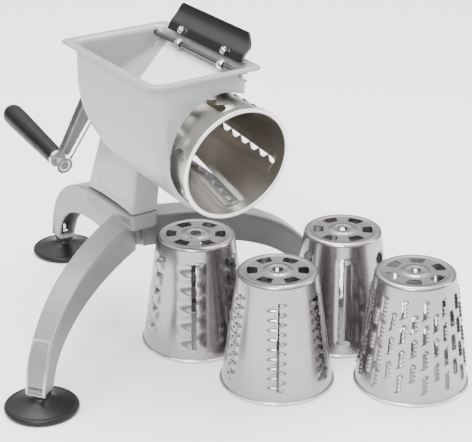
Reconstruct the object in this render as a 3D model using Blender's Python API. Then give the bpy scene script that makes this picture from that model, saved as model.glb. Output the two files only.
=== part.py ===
"""A hand-cranked rotary cheese grater on a tripod base, with five interchangeable drums.

Metres, +Z up. +X is the grater's right side and -Y its front, where the drum's open mouth
points. The origin is under the middle of the whole set, on the surface that it stands on.
"""

import math

import bmesh
import bpy
from mathutils import Matrix, Vector

GAP = 0.0003  # clearance between touching pieces
STEEL_GAP = 0.0004  # running clearance round shafts and pins

# Where the tripod's centre stands.
HUB_X = -0.01387
HUB_Y = 0.03854

# Drums: truncated cones of sheet steel, with the big end open.
DRUM_HEIGHT = 0.1115
DRUM_MOUTH_R = 0.052
DRUM_RIM_R = 0.0537
DRUM_SHOULDER_R = 0.0374
DRUM_SHOULDER_DROP = 0.004
DRUM_END_R = 0.0335
DRUM_WALL = 0.0009
DRUM_LIP = 0.0007  # how far the lip's underside reaches past the mouth's plane
DRUM_HOLE_R = 0.0052
WINDOW_INNER_R = 0.0185
WINDOW_OUTER_R = 0.0285
WINDOW_DEG = 33
WINDOWS = 6
SLOT_LOW = 0.012
SLOT_HIGH = 0.096
SHRED_COLUMNS = 12
SHRED_PITCH = 0.014
SPARE_DRUMS = {  # name: (x, y, turn in degrees) of its axis from the tripod's centre
    "crinkle_drum": (0.0350, -0.0645, -34.3),
    "julienne_drum": (0.0551, -0.1735, -32.9),
    "slicing_drum": (0.1583, -0.1320, -35.5),
    "shredding_drum": (0.1583, -0.2430, -11.4),
}

# Drum axis: from the mouth's centre it runs back and up.
MOUTH = (0.0134, -0.1714, 0.2212)
MOUNTED_TURN = math.radians(-13)  # of the mounted drum and its drive head
AXIS_TILT = math.radians(9.5)

# Hopper: walls, rim flange and the sloping floor over the drum.
RIM_Z = 0.2995
FLANGE_T = 0.003
FLANGE_OVERHANG = 0.008
WALL_LEFT_X = -0.0543
WALL_RIGHT_X = 0.0416
WALL_FRONT_Y = -0.1474
WALL_BACK_Y = 0.0020
WALL_T = 0.003
WALL_BEND_Z = 0.2665
HOUSING_R = 0.0565
HOUSING_BOTTOM_FRONT_Z = 0.1645
HOUSING_BOTTOM_BACK_Z = 0.1725
EDGE_R = 0.012
BACK_SWEEP_R = 0.036
FLOOR_Z = 0.2870
FLOOR_SLOPE = math.tan(math.radians(13))
FLOOR_T = 0.0025
FLOOR_LEFT_X = -0.020
THROAT_R = 0.0530
THROAT_ROUND = 32
WINDOW_X = (0.0417, 0.0800)  # the right wall is open where the drum comes through it
WINDOW_Y = (-0.1700, -0.0450)
WINDOW_Z = (0.1500, 0.2900)

# Pedestal under the hopper, from the tripod's hub up into the housing.
HUB_TOP_Z = 0.1266
PEDESTAL_X = (-0.0140, 0.0145)
PEDESTAL_FOOT_Y = (-0.0290, 0.0600)
PEDESTAL_HEAD_Y = (-0.0420, 0.0280)
PEDESTAL_HEAD_Z = 0.196
PEDESTAL_ARCH = 0.003
PEDESTAL_WALL = 0.0035
PEDESTAL_BOLT_Y = (-0.0140, 0.0420)
BOLT_R = 0.0025

# Tripod: arched channel legs from a flat hub.
LEGS = {"front": 214.5, "right": 346.4, "back": 83.6}  # name: direction in degrees
LEG_REACH = 0.198
LEG_TOP_Z = 0.1175
LEG_INNER_REACH = 0.180
LEG_INNER_Z = 0.0855
LEG_ROUNDNESS = 0.78
LEG_WIDTH = (0.027, 0.0175)
LEG_WALL = 0.003
LEG_STEPS = 8
LEG_START = 0.012  # where a leg begins, inside the hub
FOOT_Z = 0.018
FOOT_R = 0.187
HUB_PLATE_Z = 0.1120

# Suction cups with their studs and nuts.
CUP_R = 0.034
CUP_SEAT_R = 0.0300
CUP_NECK_R = 0.0095
STUD_R = 0.003
STUD_TOP_Z = 0.033
FOOT_PLATE_T = 0.0045

# Drive: distances along the drum axis from the mouth.
SHAFT_R = 0.004
BUSH_R = 0.0070
BUSH_AT = (0.146, 0.2100)
BOSS_R = 0.0115
BOSS_AT = (0.146, 0.2095)
BOSS_ROOT_R = 0.0165  # where the boss leaves the housing's back wall
WASHER_AT = (0.2105, 0.2120)
ARM_HUB_AT = (0.2125, 0.2285)
ARM_AT = (0.2210, 0.2285)
ARM_EYE_AT = (0.2170, 0.2310)
SHAFT_AT = (DRUM_HEIGHT + 0.0002, 0.2355)
CRANK_R = 0.1165
CRANK_ANGLE = math.radians(26.0)  # from straight down, towards the left
ARM_HUB_R = 0.0140
ARM_EYE_R = 0.0066
EYE_BOSS_R = 0.0086
ARM_WEB_DEPTH = 0.003
GRIP_AT = (0.2350, 0.3380)
GRIP_R = (0.0088, 0.0108)
SPINDLE_R = 0.0032

# Presser: a curved plate that swings on a rod along the hopper's right wall.
ROD_X = 0.0332
ROD_Z = 0.2927
ROD_R = 0.0025
ROD_Y = (-0.1524, 0.0071)
PLATE_Y = (-0.1430, -0.0194)
PLATE_T = 0.0022
PLATE_CLIP = 0.012
EYE_YS = (-0.1154, -0.0434)
EYE_R = 0.0048

ROUND = 24
SMALL_ROUND = 16


def clear_scene():
    for old in list(bpy.data.objects):
        bpy.data.objects.remove(old, do_unlink=True)


def material(name, colour, roughness, metallic):
    made = bpy.data.materials.new(name)
    made.use_nodes = True
    shader = made.node_tree.nodes["Principled BSDF"]
    shader.inputs["Base Color"].default_value = (*colour, 1)
    shader.inputs["Roughness"].default_value = roughness
    shader.inputs["Metallic"].default_value = metallic
    return made


def at_hub(x, y, z=0.0):
    return Vector((HUB_X + x, HUB_Y + y, z))


def axis_frame():
    """Local +Z runs back along the drum axis, local +X is the world's, local +Y points down."""
    back = Vector((0, math.cos(AXIS_TILT), math.sin(AXIS_TILT)))
    down = Vector((0, math.sin(AXIS_TILT), -math.cos(AXIS_TILT)))
    turn = Matrix((Vector((1, 0, 0)), down, back)).transposed().to_4x4()
    return Matrix.Translation(at_hub(*MOUTH)) @ turn


def axis_empty(name, matrix, parent=None):
    """An empty on a joint's axis, which carries the pieces that turn with it."""
    empty = bpy.data.objects.new(name, None)
    empty.empty_display_size = 0.02
    bpy.context.scene.collection.objects.link(empty)
    empty.parent = parent
    empty.matrix_local = matrix
    return empty


def finish(name, bm, finish_material=None, parent=None, place=None):
    """Makes the bmesh an object under its parent, with its faces pointing out."""
    bmesh.ops.recalc_face_normals(bm, faces=bm.faces[:])
    mesh = bpy.data.meshes.new(name)
    bm.to_mesh(mesh)
    bm.free()
    mesh.shade_smooth()
    mesh.set_sharp_from_angle(angle=math.radians(35))
    made = bpy.data.objects.new(name, mesh)
    bpy.context.scene.collection.objects.link(made)
    if finish_material:
        mesh.materials.append(finish_material)
    made.parent = parent
    if place is not None:
        made.matrix_local = place
    return made


def helper(name, bm, parent=None, place=None):
    """A cutter or a piece to be joined, which is not part of the assembly itself."""
    made = finish(name, bm, None, parent, place)
    made.hide_render = True
    made.display_type = "WIRE"
    return made


def boolean(target, other, operation):
    step = target.modifiers.new(other.name, "BOOLEAN")
    step.object = other
    step.operation = operation
    step.solver = "EXACT"


def circle(radius, count, phase=0.0):
    step = 2 * math.pi / count
    return [
        (radius * math.cos(phase + step * k), radius * math.sin(phase + step * k))
        for k in range(count)
    ]


def loft(rings):
    """A closed body through rings of equally many points, capped at both ends."""
    bm = bmesh.new()
    loops = [[bm.verts.new(point) for point in ring] for ring in rings]
    for low, high in zip(loops, loops[1:]):
        for k in range(len(low)):
            after = (k + 1) % len(low)
            bm.faces.new((low[k], low[after], high[after], high[k]))
    bm.faces.new(loops[0])
    bm.faces.new(loops[-1])
    return bm


def prism(outline, low, high):
    """An outline in local XY, extruded along local Z."""
    return loft([[(x, y, z) for x, y in outline] for z in (low, high)])


def ring_prism(outer, inner, low, high):
    """A tube between two outlines of equally many points."""
    bm = bmesh.new()
    loops = []
    for outline, z in ((outer, low), (outer, high), (inner, high), (inner, low)):
        loops.append([bm.verts.new((x, y, z)) for x, y in outline])
    for first, second in zip(loops, loops[1:] + loops[:1]):
        for k in range(len(first)):
            after = (k + 1) % len(first)
            bm.faces.new((first[k], first[after], second[after], second[k]))
    return bm


def lathe(profile, count=ROUND):
    """A profile of (radius, height) turned round local Z. A radius of 0 closes it on the axis."""
    bm = bmesh.new()
    rings = []
    for radius, height in profile:
        if radius == 0:
            rings.append([bm.verts.new((0, 0, height))] * count)
        else:
            rings.append([bm.verts.new((x, y, height)) for x, y in circle(radius, count)])
    pairs = list(zip(rings, rings[1:]))
    if profile[0][0] > 0:
        pairs.append((rings[-1], rings[0]))
    for low, high in pairs:
        for k in range(count):
            after = (k + 1) % count
            corners = []
            for vert in (low[k], low[after], high[after], high[k]):
                if vert not in corners:
                    corners.append(vert)
            if len(corners) > 2:
                bm.faces.new(corners)
    return bm


def tube(outer, inner, low, high, count=ROUND):
    return ring_prism(circle(outer, count), circle(inner, count), low, high)


def cylinder(radius, low, high, count=ROUND):
    return prism(circle(radius, count), low, high)


def hexagon(across_flats):
    """A hexagon with a point at each corner and each mid-side, to match a 12-point circle."""
    corner = across_flats / math.sqrt(3)
    return [
        (radius * math.cos(k * math.pi / 6), radius * math.sin(k * math.pi / 6))
        for k in range(12)
        for radius in [corner if k % 2 == 0 else across_flats / 2]
    ]


def hex_nut(across_flats, bore, low, high):
    return ring_prism(hexagon(across_flats), circle(bore, 12), low, high)


def rounded_rectangle(x_span, y_span, radii, steps=4):
    """Corners in the order left-front, right-front, right-back, left-back."""
    centres = (
        (x_span[0], y_span[0], 1, 1, 180),
        (x_span[1], y_span[0], -1, 1, 270),
        (x_span[1], y_span[1], -1, -1, 0),
        (x_span[0], y_span[1], 1, -1, 90),
    )
    outline = []
    for (x, y, inward_x, inward_y, start), radius in zip(centres, radii):
        for k in range(steps + 1):
            angle = math.radians(start + 90 * k / steps)
            outline.append(
                (
                    x + radius * (inward_x + math.cos(angle)),
                    y + radius * (inward_y + math.sin(angle)),
                )
            )
    return outline


def fillet_inset(distance, radius):
    """How far a rounded edge has drawn in, at a distance from the end face."""
    short = max(radius - distance, 0.0)
    return radius - math.sqrt(radius * radius - short * short)


def housing_ring(y, inset, top_z):
    """The hopper's section at one y: a straight left wall, a rounded bottom and a bulged right side.

    inset is the distance inside the outer skin."""
    length = WALL_BACK_Y - WALL_FRONT_Y
    share = (y - WALL_FRONT_Y) / length
    low = HOUSING_BOTTOM_FRONT_Z + share * (HOUSING_BOTTOM_BACK_Z - HOUSING_BOTTOM_FRONT_Z)
    from_front = y - WALL_FRONT_Y - inset
    from_back = WALL_BACK_Y - y - inset
    edge = max(EDGE_R - inset, 0.004)
    side = fillet_inset(from_front, edge) + fillet_inset(from_back, edge)
    bottom = fillet_inset(from_front, edge) + fillet_inset(from_back, BACK_SWEEP_R - inset)
    left = WALL_LEFT_X + inset + side
    right = WALL_RIGHT_X - inset - side
    low += inset + bottom
    centre_x = MOUTH[0]
    bulge = HOUSING_R - inset - side
    centre_z = HOUSING_BOTTOM_FRONT_Z + HOUSING_R
    meet = math.acos((right - centre_x) / bulge)
    ring = [(left, top_z)]
    for k in range(8):
        angle = math.pi / 2 * k / 7
        x = centre_x - (centre_x - left) * math.cos(angle)
        ring.append((x, WALL_BEND_Z - (WALL_BEND_Z - low) * math.sin(angle)))
    for k in range(1, 8):
        angle = -math.pi / 2 + (math.pi / 2 + meet) * k / 7
        depth = centre_z - low if angle < 0 else bulge
        ring.append((centre_x + bulge * math.cos(angle), centre_z + depth * math.sin(angle)))
    ring.append((right, top_z))
    return [at_hub(x, y, z) for x, z in ring]


def housing_shell(inset, top_z):
    front = WALL_FRONT_Y + inset
    back = WALL_BACK_Y - inset
    near_front = [front + EDGE_R * k for k in (0, 0.25, 1.0)]
    near_back = [back - BACK_SWEEP_R * k for k in (0.0, 0.04, 0.18, 0.5, 1.0)]
    stations = near_front + near_back[::-1]
    return loft([housing_ring(y, inset, top_z) for y in stations])


def pedestal_body(inset, drop):
    """The pedestal's side outline in YZ, extruded across X, with an arched lower edge."""
    low = HUB_TOP_Z + GAP - drop
    foot_front, foot_back = PEDESTAL_FOOT_Y[0] + inset, PEDESTAL_FOOT_Y[1] - inset
    head_front, head_back = PEDESTAL_HEAD_Y[0] + inset, PEDESTAL_HEAD_Y[1] - inset
    outline = [(head_back, PEDESTAL_HEAD_Z), (head_front, PEDESTAL_HEAD_Z)]
    for k in range(9):
        share = k / 8
        arch = 0 if drop else PEDESTAL_ARCH * math.sin(math.pi * share)
        outline.append((foot_front + share * (foot_back - foot_front), low + arch))
    left, right = PEDESTAL_X[0] + inset, PEDESTAL_X[1] - inset
    return loft([[at_hub(x, y, z) for y, z in outline] for x in (left, right)])


def floor_body():
    """The sloping floor over the drum's right side, with a lip along its left edge."""
    right = WALL_RIGHT_X - WALL_T / 2
    right_z = FLOOR_Z + FLOOR_SLOPE * WALL_T / 2
    left_z = FLOOR_Z - FLOOR_SLOPE * (WALL_RIGHT_X - WALL_T - FLOOR_LEFT_X)
    outline = [
        (right, right_z),
        (right, right_z - FLOOR_T),
        (FLOOR_LEFT_X, left_z - FLOOR_T),
        (FLOOR_LEFT_X, left_z),
    ]
    front, back = WALL_FRONT_Y + WALL_T / 2, WALL_BACK_Y - WALL_T / 2
    return loft([[at_hub(x, y, z) for x, z in outline] for y in (front, back)])


def build_hopper(paint, drum_axis):
    body = finish("hopper_body", housing_shell(0, RIM_Z), paint)
    flange = rounded_rectangle(
        (WALL_LEFT_X - FLANGE_OVERHANG, WALL_RIGHT_X + FLANGE_OVERHANG),
        (WALL_FRONT_Y - FLANGE_OVERHANG, WALL_BACK_Y + FLANGE_OVERHANG),
        (0.004, 0.004, 0.014, 0.004),
    )
    flange = [tuple(at_hub(x, y).xy) for x, y in flange]
    boolean(body, helper("rim_flange", prism(flange, RIM_Z - FLANGE_T, RIM_Z)), "UNION")
    boolean(body, helper("pedestal_block", pedestal_body(0, 0)), "UNION")
    boolean(body, helper("hopper_cavity", housing_shell(WALL_T, RIM_Z + 0.01)), "DIFFERENCE")
    boolean(body, helper("hopper_floor", floor_body()), "UNION")
    corners = ((0, 0), (1, 0), (1, 1), (0, 1))
    side = [tuple(at_hub(WINDOW_X[i], WINDOW_Y[k]).xy) for i, k in corners]
    boolean(body, helper("drum_window", prism(side, *WINDOW_Z)), "DIFFERENCE")
    boss = lathe(
        [
            (0, BOSS_AT[0]),
            (BOSS_R, BOSS_AT[0]),
            (BOSS_R, 0.162),
            (BOSS_ROOT_R, 0.168),
            (BOSS_ROOT_R, 0.176),
            (BOSS_R, 0.196),
            (BOSS_R, BOSS_AT[1]),
            (0, BOSS_AT[1]),
        ],
        SMALL_ROUND,
    )
    boolean(body, helper("shaft_boss", boss, drum_axis), "UNION")
    throat = cylinder(THROAT_R, -0.02, 0.060, THROAT_ROUND)
    boolean(body, helper("throat_cutter", throat, drum_axis), "DIFFERENCE")
    bore = cylinder(BUSH_R + GAP, BOSS_AT[0] - 0.01, BOSS_AT[1] + 0.01, SMALL_ROUND)
    boolean(body, helper("bush_bore", bore, drum_axis), "DIFFERENCE")
    rod_hole = cylinder(ROD_R + GAP, ROD_Y[0] - 0.01, ROD_Y[1] + 0.005, SMALL_ROUND)
    boolean(body, helper("rod_holes", rod_hole, None, rod_frame()), "DIFFERENCE")
    hollow = helper("pedestal_hollow", pedestal_hollow())
    boolean(body, hollow, "DIFFERENCE")
    for k, y in enumerate(PEDESTAL_BOLT_Y):
        post = prism(circle(0.006, SMALL_ROUND), HUB_TOP_Z + 0.0045, HUB_TOP_Z + 0.040)
        place = Matrix.Translation(at_hub(0, y))
        boolean(body, helper(f"bolt_post_{k}", post, None, place), "UNION")
        hole = cylinder(BOLT_R + GAP, HUB_TOP_Z - 0.01, HUB_TOP_Z + 0.025, SMALL_ROUND)
        boolean(body, helper(f"bolt_hole_{k}", hole, None, place), "DIFFERENCE")


def pedestal_hollow():
    """The space inside the pedestal, open below."""
    low, high = HUB_TOP_Z - 0.01, HUB_TOP_Z + 0.036
    left, right = PEDESTAL_X[0] + PEDESTAL_WALL, PEDESTAL_X[1] - PEDESTAL_WALL
    front, back = PEDESTAL_FOOT_Y[0] + PEDESTAL_WALL, PEDESTAL_FOOT_Y[1] - PEDESTAL_WALL
    lean = 0.020  # how far the back wall comes forward over the hollow's height
    outline = [(front, low), (back, low), (back - lean, high), (front, high)]
    return loft([[at_hub(x, y, z) for y, z in outline] for x in (left, right)])


def rod_frame():
    """Local +Z runs along the world's +Y, on the presser's rod."""
    turn = Matrix.Rotation(-math.pi / 2, 4, "X")
    return Matrix.Translation(at_hub(ROD_X, 0, ROD_Z)) @ turn


def leg_curve(reach, height, share):
    """A point on a rounded quarter arch: share 0 is over the hub, 1 is at the foot."""
    angle = math.pi / 2 * (1 - share)
    radius = reach * math.cos(angle) ** LEG_ROUNDNESS
    return radius, max(height * math.sin(angle) ** LEG_ROUNDNESS, FOOT_Z)


def leg_ring(share):
    """A channel section, open below: two side webs under a top plate."""
    out_r, out_z = leg_curve(LEG_REACH, LEG_TOP_Z, share)
    in_r, in_z = leg_curve(LEG_INNER_REACH, LEG_INNER_Z, share)
    half = (LEG_WIDTH[0] + (LEG_WIDTH[1] - LEG_WIDTH[0]) * share) / 2
    depth = math.hypot(out_r - in_r, out_z - in_z)
    plate = LEG_WALL / depth
    top_r, top_z = out_r + (in_r - out_r) * plate, out_z + (in_z - out_z) * plate
    thin = half - LEG_WALL
    return [
        (in_r, -half, in_z),
        (out_r, -half, out_z),
        (out_r, half, out_z),
        (in_r, half, in_z),
        (in_r, thin, in_z),
        (top_r, thin, top_z),
        (top_r, -thin, top_z),
        (in_r, -thin, in_z),
    ]


def build_tripod(paint):
    left, right = PEDESTAL_X[0] - 0.003, PEDESTAL_X[1] + 0.003
    front, back = PEDESTAL_FOOT_Y[0] - 0.003, PEDESTAL_FOOT_Y[1] + 0.002
    plate = rounded_rectangle((left, right), (front, back), (0.005, 0.005, 0.005, 0.012), 3)
    body = finish(
        "tripod_base",
        prism([tuple(at_hub(x, y).xy) for x, y in plate], HUB_PLATE_Z, HUB_TOP_Z),
        paint,
    )
    last = foot_share()
    for name, direction in LEGS.items():
        place = Matrix.Translation(at_hub(0, 0)) @ Matrix.Rotation(math.radians(direction), 4, "Z")
        shares = [LEG_START + (last - LEG_START) * k / LEG_STEPS for k in range(LEG_STEPS + 1)]
        leg = helper(f"leg_{name}", loft([leg_ring(share) for share in shares]), None, place)
        boolean(body, leg, "UNION")
        half = LEG_WIDTH[1] / 2
        pad = rounded_rectangle((FOOT_R - 0.0095, LEG_REACH - 0.001), (-half, half), (0.002,) * 4, 1)
        pad = helper(f"foot_pad_{name}", prism(pad, FOOT_Z, FOOT_Z + FOOT_PLATE_T), None, place)
        boolean(body, pad, "UNION")
        hole = cylinder(STUD_R + GAP, FOOT_Z - 0.01, FOOT_Z + 0.01, SMALL_ROUND)
        at_foot = place @ Matrix.Translation((FOOT_R, 0, 0))
        boolean(body, helper(f"stud_hole_{name}", hole, None, at_foot), "DIFFERENCE")
        build_foot(name, at_foot)
    core = cylinder(0.017, LEG_INNER_Z, HUB_PLATE_Z + 0.002, ROUND)
    boolean(body, helper("hub_core", core, None, Matrix.Translation(at_hub(0, 0))), "UNION")
    for k, y in enumerate(PEDESTAL_BOLT_Y):
        hole = cylinder(BOLT_R + GAP, LEG_INNER_Z - 0.01, HUB_TOP_Z + 0.01, SMALL_ROUND)
        place = Matrix.Translation(at_hub(0, y))
        boolean(body, helper(f"hub_bolt_hole_{k}", hole, None, place), "DIFFERENCE")
        under = cylinder(0.0058, LEG_INNER_Z - 0.02, HUB_PLATE_Z + 0.003, SMALL_ROUND)
        boolean(body, helper(f"hub_bolt_seat_{k}", under, None, place), "DIFFERENCE")


def foot_share():
    """The share along a leg at which its inner edge comes down to the foot."""
    height = (FOOT_Z / LEG_INNER_Z) ** (1 / LEG_ROUNDNESS)
    return 1 - math.asin(height) / (math.pi / 2)


def build_foot(name, place):
    top = FOOT_Z - GAP
    cup = lathe(
        [
            (0, 0.0072),
            (0.0200, 0.0045),
            (CUP_SEAT_R, 0),
            (CUP_R - 0.0008, 0),
            (CUP_R, 0.0010),
            (CUP_R, 0.0042),
            (CUP_R - 0.0030, 0.0058),
            (0.0140, 0.0110),
            (CUP_NECK_R, 0.0130),
            (CUP_NECK_R, top),
            (STUD_R + GAP, top),
            (STUD_R + GAP, 0.0100),
            (0, 0.0100),
        ]
    )
    finish(f"suction_cup_{name}", cup, RUBBER, None, place)
    stud = cylinder(STUD_R, 0.0103, STUD_TOP_Z, SMALL_ROUND)
    finish(f"cup_stud_{name}", stud, STEEL, None, place)
    seat = FOOT_Z + FOOT_PLATE_T + GAP
    finish(f"cup_nut_{name}", hex_nut(0.0085, STUD_R + GAP, seat, seat + 0.0040), STEEL, None, place)


def build_pedestal_bolts():
    for end, y in zip(("front", "back"), PEDESTAL_BOLT_Y):
        head_top = HUB_PLATE_Z + 0.003 - GAP
        bolt = lathe(
            [
                (0, head_top - 0.0040),
                (0.0045, head_top - 0.0040),
                (0.0045, head_top),
                (BOLT_R, head_top),
                (BOLT_R, HUB_TOP_Z + 0.022),
                (0, HUB_TOP_Z + 0.022),
            ],
            SMALL_ROUND,
        )
        finish(f"pedestal_bolt_{end}", bolt, STEEL, None, Matrix.Translation(at_hub(0, y)))


def drum_profile():
    """(radius, distance from the mouth) of the drum's skin, from its centre hole to its rim."""
    shoulder = DRUM_HEIGHT - DRUM_SHOULDER_DROP

    def wall(distance):
        share = distance / shoulder
        return DRUM_MOUTH_R + (DRUM_SHOULDER_R - DRUM_MOUTH_R) * share, distance

    return wall, [
        (DRUM_HOLE_R, DRUM_HEIGHT),
        (WINDOW_INNER_R, DRUM_HEIGHT),
        (WINDOW_OUTER_R, DRUM_HEIGHT),
        (DRUM_END_R, DRUM_HEIGHT),
        wall(shoulder),
    ]


def drum_angles(edges):
    """Every edge angle in degrees, with more between them where two lie far apart."""
    widest = 19
    ordered = sorted(set(round(edge % 360, 4) for edge in edges))
    angles = []
    for here, after in zip(ordered, ordered[1:] + [ordered[0] + 360]):
        pieces = math.ceil((after - here) / widest)
        angles += [here + (after - here) * k / pieces for k in range(pieces)]
    return angles


def drum_skin(slot_centres, slot_deg, heights, is_slot):
    """The drum's sheet with its end windows and its wall slots left out."""
    wall, profile = drum_profile()
    profile += [wall(h) for h in reversed(heights)] + [wall(0.0016), (DRUM_RIM_R, 0.0)]
    window_centres = [60 * k for k in range(WINDOWS)]
    edges = [c + side * WINDOW_DEG / 2 for c in window_centres for side in (-1, 1)]
    edges += [c + side * slot_deg / 2 for c in slot_centres for side in (-1, 1)]
    angles = drum_angles(edges)
    bm = bmesh.new()
    rings = []
    for radius, height in profile:
        ring = []
        for angle in angles:
            turn = math.radians(angle)
            ring.append(bm.verts.new((radius * math.cos(turn), radius * math.sin(turn), height)))
        rings.append(ring)
    slot_band = len(profile) - len(heights) - 2
    for band in range(len(profile) - 1):
        for k, angle in enumerate(angles):
            after = (k + 1) % len(angles)
            end = angles[after] if after else angles[0] + 360
            middle = (angle + end) / 2
            window = near(middle, window_centres, WINDOW_DEG) is not None and band == 1
            column = near(middle, slot_centres, slot_deg)
            row = len(heights) - 2 - (band - slot_band)
            slot = column is not None and 0 <= row <= len(heights) - 2 and is_slot(column, row)
            if window or slot:
                continue
            low, high = rings[band + 1], rings[band]
            bm.faces.new((low[k], low[after], high[after], high[k]))
    for vert in [vert for vert in bm.verts if not vert.link_faces]:
        bm.verts.remove(vert)
    return bm


def near(angle, centres, width):
    """The index of the centre that the angle lies within half a width of, or None."""
    for index, centre in enumerate(centres):
        if abs((angle - centre + 180) % 360 - 180) < width / 2:
            return index
    return None


def build_drum(name, skin, parent=None, place=None):
    drum = finish(name, skin, DRUM_STEEL, parent, place)
    thick = drum.modifiers.new("sheet", "SOLIDIFY")
    thick.thickness = DRUM_WALL
    thick.offset = -1
    return drum


def long_slot_skin(slot_deg):
    centres = [60 * k + 30 for k in range(6)]
    return drum_skin(centres, slot_deg, [SLOT_LOW, SLOT_HIGH], lambda column, row: True)


def shredding_skin():
    centres = [360 / SHRED_COLUMNS * (k + 0.5) for k in range(SHRED_COLUMNS)]
    heights = [SLOT_LOW + SHRED_PITCH * k for k in range(7)]
    return drum_skin(centres, 6, heights, lambda column, row: (column + row) % 2 == 0)


def build_drums(drum_axis):
    mounted = Matrix.Rotation(MOUNTED_TURN, 4, "Z")
    build_drum("coarse_drum", long_slot_skin(8.5), drum_axis, mounted)
    skins = {
        "crinkle_drum": long_slot_skin(7),
        "julienne_drum": long_slot_skin(4),
        "slicing_drum": long_slot_skin(6.5),
        "shredding_drum": shredding_skin(),
    }
    for name, (x, y, turn) in SPARE_DRUMS.items():
        place = Matrix.Translation(at_hub(x, y, DRUM_LIP))
        place @= Matrix.Rotation(math.radians(turn), 4, "Z")
        build_drum(name, skins[name], None, place)


def build_drive(drum_axis):
    """The shaft in its bush, and the head whose lugs turn the drum."""
    bush = tube(BUSH_R, SHAFT_R + STEEL_GAP, BUSH_AT[0] - 0.002, BUSH_AT[1], SMALL_ROUND)
    finish("shaft_bush", bush, BRASS, drum_axis, Matrix())
    shaft = cylinder(SHAFT_R, *SHAFT_AT, SMALL_ROUND)
    finish("drive_shaft", shaft, STEEL, drum_axis, Matrix())
    face = DRUM_HEIGHT + GAP
    head = finish(
        "drive_head",
        lathe(
            [
                (SHAFT_R + GAP, face + 0.0050),
                (SHAFT_R + GAP, face + 0.0190),
                (0.0090, face + 0.0190),
                (0.0090, face + 0.0070),
                (0.0300, face + 0.0050),
                (0.0300, face),
                (SHAFT_R + GAP, face),
            ],
            SMALL_ROUND,
        ),
        CAST,
        drum_axis,
        Matrix(),
    )
    for k in range(3):
        outline = sector(WINDOW_INNER_R + 0.0015, WINDOW_OUTER_R - 0.0015, WINDOW_DEG - 9)
        lug = prism(outline, face - 0.0060, face + 0.0020)
        turned = Matrix.Rotation(math.radians(120 * k) + MOUNTED_TURN, 4, "Z")
        boolean(head, helper(f"drive_lug_{k}", lug, drum_axis, turned), "UNION")
    pin_z = face + 0.0130
    across = Matrix.Translation((0, 0, pin_z)) @ Matrix.Rotation(math.pi / 2, 4, "Y")
    hole = helper("pin_hole", cylinder(0.0018, -0.02, 0.02, SMALL_ROUND), drum_axis, across)
    boolean(head, hole, "DIFFERENCE")
    boolean(bpy.data.objects["drive_shaft"], hole, "DIFFERENCE")
    finish("drive_pin", cylinder(0.0015, -0.0085, 0.0085, 12), STEEL, drum_axis, across)
    washer = tube(0.0100, SHAFT_R + GAP, *WASHER_AT, SMALL_ROUND)
    finish("thrust_washer", washer, STEEL, drum_axis, Matrix())


def sector(inner, outer, degrees, steps=3):
    angles = [math.radians(degrees * (k / steps - 0.5)) for k in range(steps + 1)]
    outline = [(outer * math.cos(a), outer * math.sin(a)) for a in angles]
    return outline + [(inner * math.cos(a), inner * math.sin(a)) for a in reversed(angles)]


def capsule(first, first_r, second, second_r, steps=10):
    """The outline round two circles on local Y, first at y = first and second beyond it."""
    lean = math.asin((first_r - second_r) / (second - first))
    outline = []
    for k in range(steps + 1):
        angle = lean + (math.pi - 2 * lean) * k / steps
        outline.append((second_r * math.cos(angle), second + second_r * math.sin(angle)))
    for k in range(steps + 1):
        angle = math.pi - lean + (math.pi + 2 * lean) * k / steps
        outline.append((first_r * math.cos(angle), first + first_r * math.sin(angle)))
    return outline


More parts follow.
